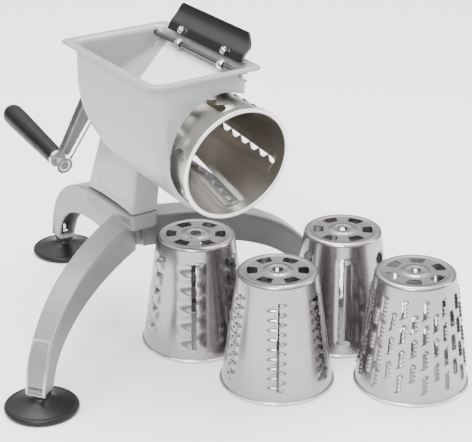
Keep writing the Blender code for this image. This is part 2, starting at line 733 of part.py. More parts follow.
def build_crank(drum_axis):
    arm_axis = axis_empty("crank_arm_line", Matrix.Rotation(CRANK_ANGLE, 4, "Z"), drum_axis)
    arm = prism(capsule(0, ARM_HUB_R, CRANK_R, ARM_EYE_R), *ARM_AT)
    arm = finish("crank_arm", arm, CAST, arm_axis, Matrix())
    recess_outline = capsule(0.022, 0.0095, CRANK_R - 0.0125, 0.0045)
    recess = prism(recess_outline, ARM_AT[0] - 0.004, ARM_AT[0] + ARM_WEB_DEPTH)
    boolean(arm, helper("arm_recess", recess, arm_axis), "DIFFERENCE")
    hub = cylinder(ARM_HUB_R - 0.0010, ARM_HUB_AT[0], ARM_HUB_AT[1] - 0.002, SMALL_ROUND)
    boolean(arm, helper("arm_hub", hub, arm_axis), "UNION")
    bore = cylinder(SHAFT_R + GAP, ARM_HUB_AT[0] - 0.01, ARM_HUB_AT[1] + 0.01, SMALL_ROUND)
    boolean(arm, helper("arm_bore", bore, arm_axis), "DIFFERENCE")
    nut = hex_nut(0.0100, SHAFT_R + GAP, ARM_AT[1] + GAP, ARM_AT[1] + 0.0055)
    finish("crank_nut", nut, STEEL, arm_axis, Matrix())
    grip_axis = axis_empty("grip_axis", Matrix.Translation((0, CRANK_R, 0)), arm_axis)
    eye = cylinder(EYE_BOSS_R, *ARM_EYE_AT, SMALL_ROUND)
    boolean(arm, helper("arm_eye", eye, grip_axis), "UNION")
    face = ARM_EYE_AT[0]
    hole = cylinder(SPINDLE_R + GAP, face - 0.01, ARM_EYE_AT[1] + 0.01, SMALL_ROUND)
    boolean(arm, helper("spindle_bore", hole, grip_axis), "DIFFERENCE")
    head_seat = cylinder(0.0052, face - 0.01, face + 0.0040, SMALL_ROUND)
    boolean(arm, helper("spindle_seat", head_seat, grip_axis), "DIFFERENCE")
    spindle = lathe(
        [
            (0, face + 0.0028),
            (0.0022, face + 0.0024),
            (0.0022, face),
            (0.0049, face),
            (0.0049, face + 0.0040 - GAP),
            (SPINDLE_R, face + 0.0040 - GAP),
            (SPINDLE_R, GRIP_AT[1] - 0.012),
            (0, GRIP_AT[1] - 0.012),
        ],
        SMALL_ROUND,
    )
    finish("grip_spindle", spindle, STEEL, grip_axis, Matrix())
    collar = tube(0.0086, SPINDLE_R + GAP, ARM_EYE_AT[1] + GAP, GRIP_AT[0] - GAP, SMALL_ROUND)
    finish("grip_collar", collar, STEEL, grip_axis, Matrix())
    low, high = GRIP_AT
    near_r, far_r = GRIP_R
    grip = lathe(
        [
            (0, high - 0.009),
            (SPINDLE_R + STEEL_GAP, high - 0.009),
            (SPINDLE_R + STEEL_GAP, low),
            (near_r - 0.001, low),
            (near_r, low + 0.001),
            (far_r, high - 0.018),
            (far_r, high - 0.008),
            (far_r * 0.86, high - 0.0033),
            (far_r * 0.5, high - 0.0007),
            (0, high),
        ],
        SMALL_ROUND + 4,
    )
    finish("grip", grip, GRIP_BLACK, grip_axis, Matrix())


def plate_outline():
    """The presser plate's section in XZ, from the rod's centre: a flat foot and a hollow blade."""
    lean = math.radians(27)
    along = Vector((math.sin(lean), math.cos(lean)))
    across = Vector((-math.cos(lean), math.sin(lean)))
    hollow = 0.0036
    foot, bend, tip = 0.0085, 0.0165, 0.0360
    middle = [(foot, 0.0022), (bend, 0.0022)]
    for k in range(1, 6):
        share = k / 5
        sag = hollow * math.sin(math.pi * share * 0.86)
        middle.append((bend + (tip - bend) * share, 0.0022 - sag))
    left = [along * u + across * (v + PLATE_T / 2) for u, v in middle]
    right = [along * u + across * (v - PLATE_T / 2) for u, v in middle]
    return left + right[::-1], along, across


def build_presser():
    presser_axis = axis_empty("presser_axis", Matrix.Translation(at_hub(ROD_X, 0, ROD_Z)))
    lay = Matrix.Rotation(-math.pi / 2, 4, "X")
    outline, along, across = plate_outline()
    front, back = PLATE_Y
    plate = loft([[(p.x, y, p.y) for p in outline] for y in (front, back)])
    plate = finish("presser_plate", plate, PLATE_BLACK, presser_axis, Matrix())
    lean = math.atan2(along.x, along.y)
    for k, y in enumerate(PLATE_Y):
        half = PLATE_CLIP if y == front else PLATE_CLIP / 2
        box = prism([(-half, -half), (half, -half), (half, half), (-half, half)], -0.02, 0.02)
        corner = Vector((along.x * 0.0365, y, along.y * 0.0365))
        turn = Matrix.Rotation(lean, 4, "Y") @ Matrix.Rotation(math.pi / 4, 4, "X")
        turn = Matrix.Translation(corner) @ turn @ Matrix.Rotation(math.pi / 2, 4, "Y")
        clip = helper(f"plate_clip_{k}", box, presser_axis, turn)
        boolean(plate, clip, "DIFFERENCE")
    rod = cylinder(ROD_R, ROD_Y[0], ROD_Y[1], SMALL_ROUND)
    rod = finish("pivot_rod", rod, STEEL, presser_axis, lay)
    for side, y in zip(("front", "back"), EYE_YS):
        seat = along * 0.0125 + across * 0.0022
        eye = finish(
            f"rod_eye_{side}",
            prism(circle(EYE_R, 6, math.pi / 2 - lean), y - 0.0035, y + 0.0035),
            STEEL,
            presser_axis,
            lay,
        )
        bore = helper(f"eye_bore_{side}", cylinder(ROD_R + GAP, y - 0.01, y + 0.01, 12), presser_axis, lay)
        boolean(eye, bore, "DIFFERENCE")
        build_plate_bolt(side, y, presser_axis, plate, seat, along, across)
    for side, (low, high) in {
        "front": (ROD_Y[0] - 0.0010, WALL_FRONT_Y - GAP),
        "back": (WALL_BACK_Y + GAP, ROD_Y[1] + 0.0010),
    }.items():
        cap = finish(f"rod_cap_{side}", cylinder(0.0033, low, high, 12), STEEL, presser_axis, lay)
        pocket = cylinder(ROD_R + GAP, ROD_Y[0] - GAP, ROD_Y[1] + GAP, 12)
        boolean(cap, helper(f"cap_pocket_{side}", pocket, presser_axis, lay), "DIFFERENCE")


def build_plate_bolt(side, y, presser_axis, plate, seat, along, across):
    """A bolt through the plate's foot, with its nut on the side that faces the hopper."""
    direction = Vector((across.x, 0, across.y))
    turn = direction.to_track_quat("Z", "Y").to_matrix().to_4x4()
    place = Matrix.Translation((seat.x, y, seat.y)) @ turn
    hole = helper(f"bolt_hole_plate_{side}", cylinder(0.0023, -0.01, 0.01, 12), presser_axis, place)
    boolean(plate, hole, "DIFFERENCE")
    face = PLATE_T / 2 + GAP
    bolt = lathe(
        [
            (0, -face - 0.0030),
            (0.0036, -face - 0.0030),
            (0.0036, -face),
            (0.0020, -face),
            (0.0020, face + 0.0040),
            (0, face + 0.0040),
        ],
        12,
    )
    finish(f"plate_bolt_{side}", bolt, STEEL, presser_axis, place)
    nut = hex_nut(0.0068, 0.0020 + GAP, face, face + 0.0030)
    finish(f"plate_nut_{side}", nut, STEEL, presser_axis, place)


clear_scene()
RUBBER = material("black_rubber", (0.015, 0.015, 0.016), 0.55, 0.0)
STEEL = material("bright_steel", (0.78, 0.78, 0.80), 0.15, 1.0)
DRUM_STEEL = material("drum_steel", (0.62, 0.60, 0.58), 0.3, 1.0)
CAST = material("cast_aluminium", (0.60, 0.61, 0.62), 0.45, 0.9)
BRASS = material("bush_bronze", (0.65, 0.48, 0.25), 0.4, 1.0)
GRIP_BLACK = material("grip_black", (0.012, 0.012, 0.013), 0.35, 0.0)
PLATE_BLACK = material("presser_black", (0.010, 0.010, 0.012), 0.18, 0.0)
HOPPER_GREY = material("hopper_grey", (0.62, 0.63, 0.64), 0.4, 0.4)
TRIPOD_GREY = material("tripod_grey", (0.42, 0.43, 0.44), 0.4, 0.4)

axis = axis_empty("drum_axis", axis_frame())
build_hopper(HOPPER_GREY, axis)
build_tripod(TRIPOD_GREY)
build_pedestal_bolts()
build_drums(axis)
build_drive(axis)
build_crank(axis)
build_presser()
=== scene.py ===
"""The looks of a rotary cheese grater with four spare drums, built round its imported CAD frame."""

from math import acos, asin, ceil, cos, hypot, pi, radians, sin, sqrt

import bmesh
import bpy
import numpy as np
from mathutils import Matrix, Vector
from mathutils.geometry import delaunay_2d_cdt


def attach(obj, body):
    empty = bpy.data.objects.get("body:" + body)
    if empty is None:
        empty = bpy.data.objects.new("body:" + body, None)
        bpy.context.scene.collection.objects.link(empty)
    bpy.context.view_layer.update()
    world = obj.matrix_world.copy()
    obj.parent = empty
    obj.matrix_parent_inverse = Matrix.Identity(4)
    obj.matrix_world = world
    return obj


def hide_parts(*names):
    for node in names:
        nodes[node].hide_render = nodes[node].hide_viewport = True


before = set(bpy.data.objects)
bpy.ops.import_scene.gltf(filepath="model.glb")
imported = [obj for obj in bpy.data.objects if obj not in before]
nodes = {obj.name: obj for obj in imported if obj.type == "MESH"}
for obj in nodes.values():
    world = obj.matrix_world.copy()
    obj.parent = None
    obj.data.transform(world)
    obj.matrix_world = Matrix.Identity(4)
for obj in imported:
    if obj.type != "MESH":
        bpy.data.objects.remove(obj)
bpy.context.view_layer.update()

HUB = Vector((-0.01387, 0.03854, 0.0))
MM = 0.001
GAP = 0.0003    # between parts that meet, so that no faces coincide
TILT = radians(9.5)
MOUTH = HUB + Vector((0.0134, -0.1714, 0.2212))
BACK = Vector((0, cos(TILT), sin(TILT)))
DOWN = Vector((0, sin(TILT), -cos(TILT)))
CRANK_ANGLE, CRANK_R = radians(26.0), 0.1165
ROD = HUB + Vector((0.0332, 0, 0.2927))


def basis(x, y, z, at):
    return Matrix.Translation(at) @ Matrix((Vector(x), Vector(y), Vector(z))).transposed().to_4x4()


DRUM_AXIS = basis((1, 0, 0), DOWN, BACK, MOUTH)
ARM_AXIS = DRUM_AXIS @ Matrix.Rotation(CRANK_ANGLE, 4, "Z")
GRIP_AXIS = ARM_AXIS @ Matrix.Translation((0, CRANK_R, 0))
ROD_AXIS = basis((1, 0, 0), (0, 0, -1), (0, 1, 0), ROD)


# ---------------- materials

def fill_ramp(ramp, stops):
    elements = ramp.color_ramp.elements
    while len(elements) < len(stops):
        elements.new(0.5)
    for element, (at, colour) in zip(elements, stops):
        element.position, element.color = at, (*colour, 1)


class Nodes:
    """A short way to wire a material's nodes."""

    def __init__(self, name):
        self.material = bpy.data.materials.new(name)
        self.material.use_nodes = True
        self.tree = self.material.node_tree
        self.shader = self.tree.nodes["Principled BSDF"]

    def add(self, kind, **values):
        node = self.tree.nodes.new(kind)
        for key, value in values.items():
            if key in node.inputs:
                node.inputs[key].default_value = value
            else:
                setattr(node, key, value)
        return node

    def link(self, source, output, target, socket):
        self.tree.links.new(source.outputs[output], target.inputs[socket])

    def set(self, **values):
        for key, value in values.items():
            self.shader.inputs[key.replace("_", " ")].default_value = value

    def coordinates(self, scale=(1, 1, 1)):
        where = self.add("ShaderNodeTexCoord")
        mapping = self.add("ShaderNodeMapping", Scale=scale)
        self.link(where, "Object", mapping, "Vector")
        return mapping

    def noise(self, coordinates, scale, detail=2.0, roughness=0.5):
        noise = self.add("ShaderNodeTexNoise", Scale=scale, Detail=detail, Roughness=roughness)
        self.link(coordinates, "Vector", noise, "Vector")
        return noise

    def ramp(self, source, output, stops):
        ramp = self.add("ShaderNodeValToRGB")
        fill_ramp(ramp, stops)
        self.link(source, output, ramp, "Fac")
        return ramp

    def spread(self, source, output, low, high):
        spread = self.add("ShaderNodeMapRange")
        spread.inputs["To Min"].default_value = low
        spread.inputs["To Max"].default_value = high
        self.link(source, output, spread, "Value")
        return spread

    def bump(self, *heights):
        """Stacks bumps of (node, output, strength, distance)."""
        last = None
        for source, output, strength, distance in heights:
            bump = self.add("ShaderNodeBump", Strength=strength, Distance=distance)
            self.link(source, output, bump, "Height")
            if last:
                self.link(last, "Normal", bump, "Normal")
            last = bump
        self.link(last, "Normal", self.shader, "Normal")

    def look(self, tone, stops, wear, roughness, heights, **values):
        """Colour from one socket, roughness from another, bumps and plain values: the whole surface."""
        colour = self.ramp(*tone, stops)
        self.link(colour, "Color", self.shader, "Base Color")
        rough = self.spread(wear, "Fac", *roughness)
        self.link(rough, "Result", self.shader, "Roughness")
        self.set(**values)
        self.bump(*heights)
        return self.material


def cast_paint(name, dark, light, roughness, metallic, grain):
    """Silver-grey paint on a casting: a fine sparkle, a soft mottle and a little orange peel."""
    made = Nodes(name)
    where = made.coordinates()
    fine = made.noise(where, 1500, 2, 0.6)
    soft = made.noise(where, 60, 3, 0.55)
    blend = made.add("ShaderNodeMix", data_type="FLOAT")
    blend.inputs[0].default_value = 0.30
    made.link(fine, "Fac", blend, 2)
    made.link(soft, "Fac", blend, 3)
    stops, spread = [(0.30, dark), (0.70, light)], (roughness - 0.05, roughness + 0.06)
    heights = (fine, "Fac", grain, 0.00015), (soft, "Fac", 0.10, 0.0004)
    return made.look((blend, 0), stops, soft, spread, heights, Metallic=metallic)


def sheet_steel(name, colour, roughness, streak):
    """Stainless sheet, drawn along the drum: fine scratches that run from end to end."""
    made = Nodes(name)
    scratches = made.noise(made.coordinates((900, 900, 14)), 1, 4, 0.65)
    broad = made.noise(made.coordinates((70, 70, 6)), 1, 2, 0.5)
    stops = [(0.30, tuple(c * 0.90 for c in colour)), (0.68, colour)]
    heights = (scratches, "Fac", streak, 0.00008), (broad, "Fac", 0.02, 0.0005)
    spread = (roughness - 0.05, roughness + 0.07)
    return made.look((scratches, "Fac"), stops, broad, spread, heights, Metallic=1.0)


def bright_metal(name, colour, roughness):
    """Smooth metal with faint handling marks."""
    made = Nodes(name)
    marks = made.noise(made.coordinates(), 420, 3, 0.6)
    stops = [(0.3, tuple(c * 0.93 for c in colour)), (0.7, colour)]
    spread = (max(roughness - 0.03, 0.03), roughness + 0.05)
    return made.look((marks, "Fac"), stops, marks, spread, [(marks, "Fac", 0.04, 0.0002)], Metallic=1.0)


def moulded(name, dark, light, roughness, grain, level):
    """Moulded plastic or rubber with a fine grain and faint handling marks."""
    made = Nodes(name)
    where = made.coordinates()
    fine = made.noise(where, 700, 2, 0.5)
    wear = made.noise(where, 45, 3, 0.6)
    stops, spread = [(0.35, dark), (0.75, light)], (roughness - 0.04, roughness + 0.08)
    values = {"Coat_Weight": 0.0, "Coat_Roughness": 0.08, "Specular_IOR_Level": level}
    return made.look((wear, "Fac"), stops, wear, spread, [(fine, "Fac", grain, 0.0002)], **values)


HOPPER_PAINT = cast_paint("hopper_paint", (0.29, 0.30, 0.31), (0.38, 0.39, 0.40), 0.34, 0.20, 0.08)
# Paler copy of the hopper paint for the floor's upward faces: painted light where the floor faces the lamps.
FLOOR_PAINTED_LIGHT = cast_paint("hopper_floor_painted_light", (0.64, 0.645, 0.65), (0.74, 0.745, 0.75), 0.40, 0.0, 0.04)
# Near-black strip along the joint of the floor and the back wall: painted shade in the crease.
SEAM_SHADE = cast_paint("hopper_seam_painted_shade", (0.05, 0.05, 0.052), (0.08, 0.08, 0.083), 0.60, 0.0, 0.04)
TRIPOD_PAINT = cast_paint("tripod_paint", (0.17, 0.174, 0.182), (0.225, 0.23, 0.238), 0.36, 0.20, 0.10)
DRUM_STEEL = sheet_steel("drum_steel", (0.39, 0.372, 0.372), 0.24, 0.22)
INNER_STEEL = sheet_steel("mounted_drum_steel", (0.50, 0.475, 0.44), 0.30, 0.30)
# Paler, matt copy of the rolled rim steel, used only for the mounted drum's rim: painted light.
RIM_PAINTED_LIGHT = bright_metal("rolled_rim_painted_light", (0.92, 0.91, 0.89), 0.42)
RIM_STEEL = bright_metal("rolled_rim_steel", (0.82, 0.81, 0.79), 0.16)
CHROME = bright_metal("bright_plate", (0.86, 0.86, 0.87), 0.08)
ROD_STEEL = bright_metal("rod_steel", (0.16, 0.16, 0.165), 0.10)
ARM_CAST = cast_paint("arm_cast", (0.38, 0.385, 0.39), (0.52, 0.525, 0.53), 0.30, 0.80, 0.08)
# Darker copy of the arm's cast metal for the floor of the sunk web: painted shade in the recess.
ARM_WEB_SHADE = cast_paint("arm_web_painted_shade", (0.20, 0.205, 0.21), (0.30, 0.305, 0.31), 0.42, 0.6, 0.2)
BRONZE = bright_metal("bush_bronze", (0.62, 0.46, 0.24), 0.32)
GRIP_BLACK = moulded("grip_black", (0.003, 0.003, 0.0035), (0.006, 0.006, 0.007), 0.34, 0.05, 0.22)
CUP_RUBBER = moulded("cup_rubber", (0.004, 0.004, 0.0045), (0.009, 0.009, 0.010), 0.36, 0.12, 0.28)
PLATE_BLACK = bright_metal("presser_gloss", (0.085, 0.088, 0.092), 0.13)


# ---------------- mesh tools

def link_new(name, data):
    made = bpy.data.objects.new(name, data)
    bpy.context.scene.collection.objects.link(made)
    return made


def piece(name, bm, material, body=None, slot=None, place=None, sharp=35, replace=()):
    """Makes the bmesh a piece that rides on a body."""
    mesh = bpy.data.meshes.new(name)
    bm.to_mesh(mesh)
    bm.free()
    mesh.shade_smooth()
    if sharp:
        mesh.set_sharp_from_angle(angle=radians(sharp))
    made = link_new(name, mesh)
    for one in material if isinstance(material, list) else [material]:
        mesh.materials.append(one)
    if place is not None:
        if place.col[2].z > 0.99999:
            mesh.transform(place.to_3x3().to_4x4())
            place = Matrix.Translation(place.translation)
        made.matrix_world = place
    if body:
        hand_over(made, body, slot, *replace)
    return made


def hand_over(made, body, slot, *replace):
    """The piece rides on a body and stands for the CAD nodes named; slot is not used."""
    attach(made, body)
    if replace:
        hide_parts(*replace)


def bright(name, bm, body, place, node, material=CHROME):
    """A small bright part that stands for one CAD node."""
    piece(name, bm, material, body, "bright_steel", place, replace=(node,))


def apply_modifiers(made):
    """Replaces the piece's mesh with what its modifiers make of it."""
    graph = bpy.context.evaluated_depsgraph_get()
    graph.update()
    baked = bpy.data.meshes.new_from_object(made.evaluated_get(graph))
    made.modifiers.clear()
    old = made.data
    made.data = baked
    bpy.data.meshes.remove(old)


def loft(rings, cap=True, bm=None):
    """A skin over a row of closed rings, with its ends closed unless cap is off."""
    bm = bm or bmesh.new()
    loops = [[bm.verts.new(point) for point in ring] for ring in rings]
    for low, high in zip(loops, loops[1:]):
        for k in range(len(low)):
            after = (k + 1) % len(low)
            bm.faces.new((low[k], low[after], high[after], high[k]))
    if cap:
        bm.faces.new(loops[0])
        bm.faces.new(loops[-1])
    bmesh.ops.recalc_face_normals(bm, faces=bm.faces[:])
    return bm


def prism(outline, low, high):
    """An outline in XY between two heights."""
    return loft([[(x, y, z) for x, y in outline] for z in (low, high)])


def turns(count):
    """Evenly spaced angles of a full turn."""
    return [2 * pi * k / count for k in range(count)]


def lathe(profile, count=96):
    """A closed or axis-ended (radius, height) profile turned round Z."""
    bm = bmesh.new()
    rings = []
    for radius, height in profile:
        angles = turns(count) if radius else [0]
        rings.append([bm.verts.new((radius * cos(a), radius * sin(a), height)) for a in angles])
    pairs = list(zip(rings, rings[1:]))
    if len(rings[0]) > 1 and len(rings[-1]) > 1:
        pairs.append((rings[-1], rings[0]))
    for low, high in pairs:
        for k in range(count):
            after = (k + 1) % count
            corners = (low[k % len(low)], low[after % len(low)], high[after % len(high)], high[k % len(high)])
            corners = list(dict.fromkeys(corners))
            if len(corners) > 2:
                bm.faces.new(corners)
    bmesh.ops.recalc_face_normals(bm, faces=bm.faces[:])
    return bm


def quarter(steps, first=0):
    """Evenly spaced angles of a quarter turn."""
    return [pi / 2 * k / steps for k in range(first, steps + 1)]


def slab(top, low):
    """A closed sheet between two grids of points."""
    bm = bmesh.new()
    one, two = ([[bm.verts.new(point) for point in row] for row in grid] for grid in (top, low))
    rows, columns = len(top) - 1, len(top[0]) - 1
    for j in range(rows):
        for k in range(columns):
            for grid in (one, two):
                bm.faces.new((grid[j][k], grid[j][k + 1], grid[j + 1][k + 1], grid[j + 1][k]))
        for k in (0, columns):
            bm.faces.new((one[j][k], one[j + 1][k], two[j + 1][k], two[j][k]))
    for k in range(columns):
        for j in (0, rows):
            bm.faces.new((one[j][k], one[j][k + 1], two[j][k + 1], two[j][k]))
    bmesh.ops.recalc_face_normals(bm, faces=bm.faces[:])
    return bm


def rounded(profile, radius, steps=4):
    """Rounds a closed (radius, height) profile's corners. A corner may state its own radius."""
    out = []
    count = len(profile)
    for k, corner in enumerate(profile):
        here = Vector(corner[:2])
        before = Vector(profile[k - 1][:2])
        after = Vector(profile[(k + 1) % count][:2])
        r = corner[2] if len(corner) > 2 else radius
        if r <= 0 or here.x < 1e-7:
            out.append(tuple(here))
            continue
        reach = min(r, (before - here).length * 0.49, (after - here).length * 0.49)
        first = here + (before - here).normalized() * reach
        last = here + (after - here).normalized() * reach
        for step in range(steps + 1):
            t = step / steps
            out.append(tuple(first * (1 - t) ** 2 + here * 2 * t * (1 - t) + last * t * t))
    return out


def rounded_rectangle(x_span, y_span, radii, steps=8):
    """A counter-clockwise outline from the corner at (high x, high y)."""
    (x0, x1), (y0, y1) = x_span, y_span
    outline = []
    corners = ((x1, y1, 0), (x0, y1, 90), (x0, y0, 180), (x1, y0, 270))
    for (x, y, start), r in zip(corners, radii):
        centre_x = x - r if start in (0, 270) else x + r
        centre_y = y - r if start in (0, 90) else y + r
        for k in range(steps + 1):
            angle = radians(start + 90 * k / steps)
            outline.append((centre_x + r * cos(angle), centre_y + r * sin(angle)))
    return outline


def hex_solid(across, bore, low, high, chamfer=0.0006, count=72):
    """A nut with turned-down corners and a countersunk bore, as a closed body round Z."""
    corner, lead = across / sqrt(3), 0.0004

    def side(angle, limit):
        wedge = (angle + pi / 6) % (pi / 3) - pi / 6
        return min(across / 2 / cos(wedge), limit)

    turned_down = corner - chamfer * 1.2
    levels = (low, turned_down), (low + chamfer, across), (high - chamfer, across), (high, turned_down)
    rings = [[(side(angle, limit), z) for angle in turns(count)] for z, limit in levels]
    for z, radius in ((high, bore + lead), (high - lead, bore), (low + lead, bore), (low, bore + lead)):
        rings.append([(radius, z)] * count)
    points = [[(r * cos(a), r * sin(a), z) for a, (r, z) in zip(turns(count), ring)] for ring in rings]
    return loft(points + points[:1], cap=False)


def cut(target, tool_bm, operation="DIFFERENCE", place=None):
    """Joins or cuts the target with a throwaway tool."""
    tool = piece("tool", tool_bm, [], place=place, sharp=0)
    step = target.modifiers.new("cut", "BOOLEAN")
    step.object, step.operation, step.solver = tool, operation, "EXACT"
    apply_modifiers(target)
    bpy.data.objects.remove(tool, do_unlink=True)


def soften(target, voxel, smooth):
    """Remeshes a casting so that all its edges are softly rounded, as cast edges are."""
    remesh = target.modifiers.new("cast", "REMESH")
    remesh.mode, remesh.voxel_size, remesh.use_smooth_shade = "VOXEL", voxel, True
    ease = target.modifiers.new("ease", "SMOOTH")
    ease.factor, ease.iterations = 0.5, smooth
    apply_modifiers(target)


# ---------------- drums

HEIGHT = 0.1115
MOUTH_R, SHOULDER_R, END_R = 0.0520, 0.0374, 0.0335
SHOULDER_H = HEIGHT - 0.004
SHEET, RIM_R = 0.0008, 0.0537
FOOT_H = 0.0022
FLAT_R = 0.045    # the wall is laid out flat on this radius
END_Z = HEIGHT - 0.0004
SECTORS, SAMPLES = 6, 24


def wall_r(h):
    return MOUTH_R + (SHOULDER_R - MOUTH_R) * h / SHOULDER_H


def ease(t):
    t = min(max(t, 0.0), 1.0)
    return t * t * (3 - 2 * t)


def inside(point, polygon):
    x, y = point
    found = False
    for (x0, y0), (x1, y1) in zip(polygon, polygon[1:] + polygon[:1]):
        if (y0 > y) != (y1 > y) and x < (x1 - x0) * (y - y0) / (y1 - y0) + x0:
            found = not found
    return found


def triangulate(border, holes, extra):
    """Triangles of a flat region with holes, through all the points given. Coordinates are in metres."""
    points, edges = [], []
    for loop in [border] + holes:
        start = len(points)
        points += loop
        edges += [(start + k, start + (k + 1) % len(loop)) for k in range(len(loop))]
    taken = np.array(points)
    for candidate in extra:
        if np.min(np.hypot(*(taken - candidate).T)) > 0.00045:
            if inside(candidate, border) and not any(inside(candidate, hole) for hole in holes):
                points.append(candidate)
    vectors = [Vector((x * 1000, y * 1000)) for x, y in points]
    out, _, faces, _, _, _ = delaunay_2d_cdt(vectors, edges, [], 0, 1e-6)
    flat = [(v.x / 1000, v.y / 1000) for v in out]
    kept = []
    for face in faces:
        centre = (sum(flat[k][0] for k in face) / 3, sum(flat[k][1] for k in face) / 3)
        if inside(centre, border) and not any(inside(centre, hole) for hole in holes):
            a, b, c = (flat[k] for k in face)
            turn = (b[0] - a[0]) * (c[1] - a[1]) - (b[1] - a[1]) * (c[0] - a[0])
            kept.append(tuple(face) if turn > 0 else tuple(reversed(face)))
    return flat, kept


def dome(t, power=1.0):
    """1 up to t = 0, falling to 0 at t = 1."""
    return cos(pi / 2 * min(max(t, 0), 1)) ** power


def wave(h, start, pitch):
    """Half waves along a slot."""
    return abs(sin(pi * (h - start) / pitch))


def wall_sector(half_deg, samples, slots, shape, fine, coarse=3.0 * MM):
    """One sector of a drum's wall. slots are outlines in (arc, height), shape(arc, height) gives (out, along)."""
    half = radians(half_deg)
    flat_x = lambda arc, h: arc / wall_r(h) * FLAT_R
    rows = 40
    border = [(-half * FLAT_R + 2 * half * FLAT_R * k / samples, FOOT_H) for k in range(samples)]
    border += [(half * FLAT_R, FOOT_H + (SHOULDER_H - FOOT_H) * k / rows) for k in range(rows)]
    border += [(half * FLAT_R - 2 * half * FLAT_R * k / samples, SHOULDER_H) for k in range(samples)]
    border += [(-half * FLAT_R, SHOULDER_H - (SHOULDER_H - FOOT_H) * k / rows) for k in range(rows)]
    holes = [[(flat_x(a, h), h) for a, h in slot] for slot in slots]
    extra = []
    for k in range(1, int((SHOULDER_H - FOOT_H) / coarse)):
        for j in range(1, int(2 * half * FLAT_R / coarse)):
            extra.append((-half * FLAT_R + j * coarse, FOOT_H + k * coarse))
    for arcs, heights, gap in fine:
        for h in np.arange(heights[0], heights[1], gap):
            for a in np.arange(arcs[0], arcs[1], gap):
                extra.append((flat_x(a, h), float(h)))
    flat, faces = triangulate(border, holes, extra)
    points = []
    for x, h in flat:
        theta = x / FLAT_R
        out, along = shape(theta * wall_r(h), h)
        theta += along / wall_r(h)
        r = wall_r(h) + out
        points.append((r * cos(theta), r * sin(theta), h))
    return points, faces


def window_outline(low, high, half, corner, steps=4, spacing=0.0012):
    """A window between two radii and two angles, with rounded corners, as points in XY."""
    polar = []
    for r, t, out, turn in ((low, -half, 1, 1), (high, -half, -1, 1), (high, half, -1, -1), (low, half, 1, -1)):
        across, along = (r + out * corner, t), (r, t + turn * corner / r)
        first, last = (along, across) if out == turn else (across, along)
        for k in range(steps + 1):
            s = k / steps
            polar.append([a * (1 - s) ** 2 + b * 2 * s * (1 - s) + c * s * s for a, b, c in zip(first, (r, t), last)])
    points = []
    for (r0, t0), (r1, t1) in zip(polar, polar[1:] + polar[:1]):
        parts = max(1, ceil(hypot(r1 - r0, (t1 - t0) * r0) / spacing))
        points += [at_polar(r0 + (r1 - r0) * k / parts, t0 + (t1 - t0) * k / parts) for k in range(parts)]
    return points


def at_polar(radius, angle):
    return radius * cos(angle), radius * sin(angle)


def disc_sector(samples):
    """A 60 degree sector of the drum's closed end, with its window."""
    half, inner = pi / 6, 0.0052
    border = [at_polar(inner, half - 2 * half * k / 6) for k in range(6)]
    border += [at_polar(inner + (END_R - inner) * k / 12, -half) for k in range(12)]
    border += [at_polar(END_R, -half + 2 * half * k / samples) for k in range(samples)]
    border += [at_polar(END_R - (END_R - inner) * k / 12, half) for k in range(12)]
    window = window_outline(0.0186, 0.0284, radians(16.5), 0.0016)
    extra = []
    for r in np.arange(0.006, 0.0335, 0.0011):
        extra += [at_polar(r, t) for t in np.linspace(-half, half, max(3, int(r * 2 * half / 0.0016)))[1:-1]]
    flat, faces = triangulate(border, [window], extra)
    points = []
    for x, y in flat:
        r = hypot(x, y)
        boss = 0.0007 * (ease((0.0122 - r) / 0.0018)) - 0.0005 * ease((0.0092 - r) / 0.0016)
        dish = 0.0006 * ease((0.0320 - r) / 0.0022) * ease((r - 0.0125) / 0.0015)
        points.append((x, y, END_Z + boss - dish))
    return points, faces


def turned(points, angle):
    c, s = cos(angle), sin(angle)
    return [(x * c - y * s, x * s + y * c, z) for x, y, z in points]


def build_drum(name, sectors, samples, wall, body, node, place, steel, rim_steel=RIM_STEEL, rim_half=0.00115):
    """The whole drum: walls and end as one sheet, given its thickness, with its rolled rim."""
    bm = bmesh.new()

    def add(points, faces):
        verts = [bm.verts.new(p) for p in points]
        for face in faces:
            bm.faces.new([verts[k] for k in face])

    points, faces = wall
    for k in range(sectors):
        add(turned(points, 2 * pi * (k + 0.5) / sectors), faces)
    count = sectors * samples
    shoulder_r = wall_r(SHOULDER_H)
    rings = []
    for a in quarter(6):
        r, z = END_R + (shoulder_r - END_R) * cos(a), SHOULDER_H + (END_Z - SHOULDER_H) * sin(a)
        rings.append([(*at_polar(r, b), z) for b in turns(count)])
    for low, high in zip(rings, rings[1:]):
        add(low + high, [(k, (k + 1) % count, count + (k + 1) % count, count + k) for k in range(count)])
    end_points, end_faces = disc_sector(count // 6)
    for k in range(6):
        add(turned(end_points, pi / 3 * k), end_faces)
    bmesh.ops.remove_doubles(bm, verts=bm.verts[:], dist=2e-5)
    drum = piece(name, bm, steel, place=place, sharp=45)
    thick = drum.modifiers.new("sheet", "SOLIDIFY")
    thick.thickness, thick.offset, thick.use_even_offset = SHEET, -1, False
    apply_modifiers(drum)
    drum.data.shade_smooth()
    drum.data.set_sharp_from_angle(angle=radians(45))
    hand_over(drum, body, "drum_steel", node)
    bead = [(RIM_R - rim_half + rim_half * cos(a), 0.0013 + 0.0012 * sin(a)) for a in turns(18)]
    piece(name + "_rim", lathe(bead, 144), rim_steel, body, "drum_steel", place, sharp=0)


LOW, HIGH = 0.012, 0.096


def ends(h, reach=0.003, low=LOW, high=HIGH):
    """1 along a slot, easing to 0 just past its ends."""
    return ease((h - low + 0.001) / reach) * ease((high + 0.001 - h) / reach)


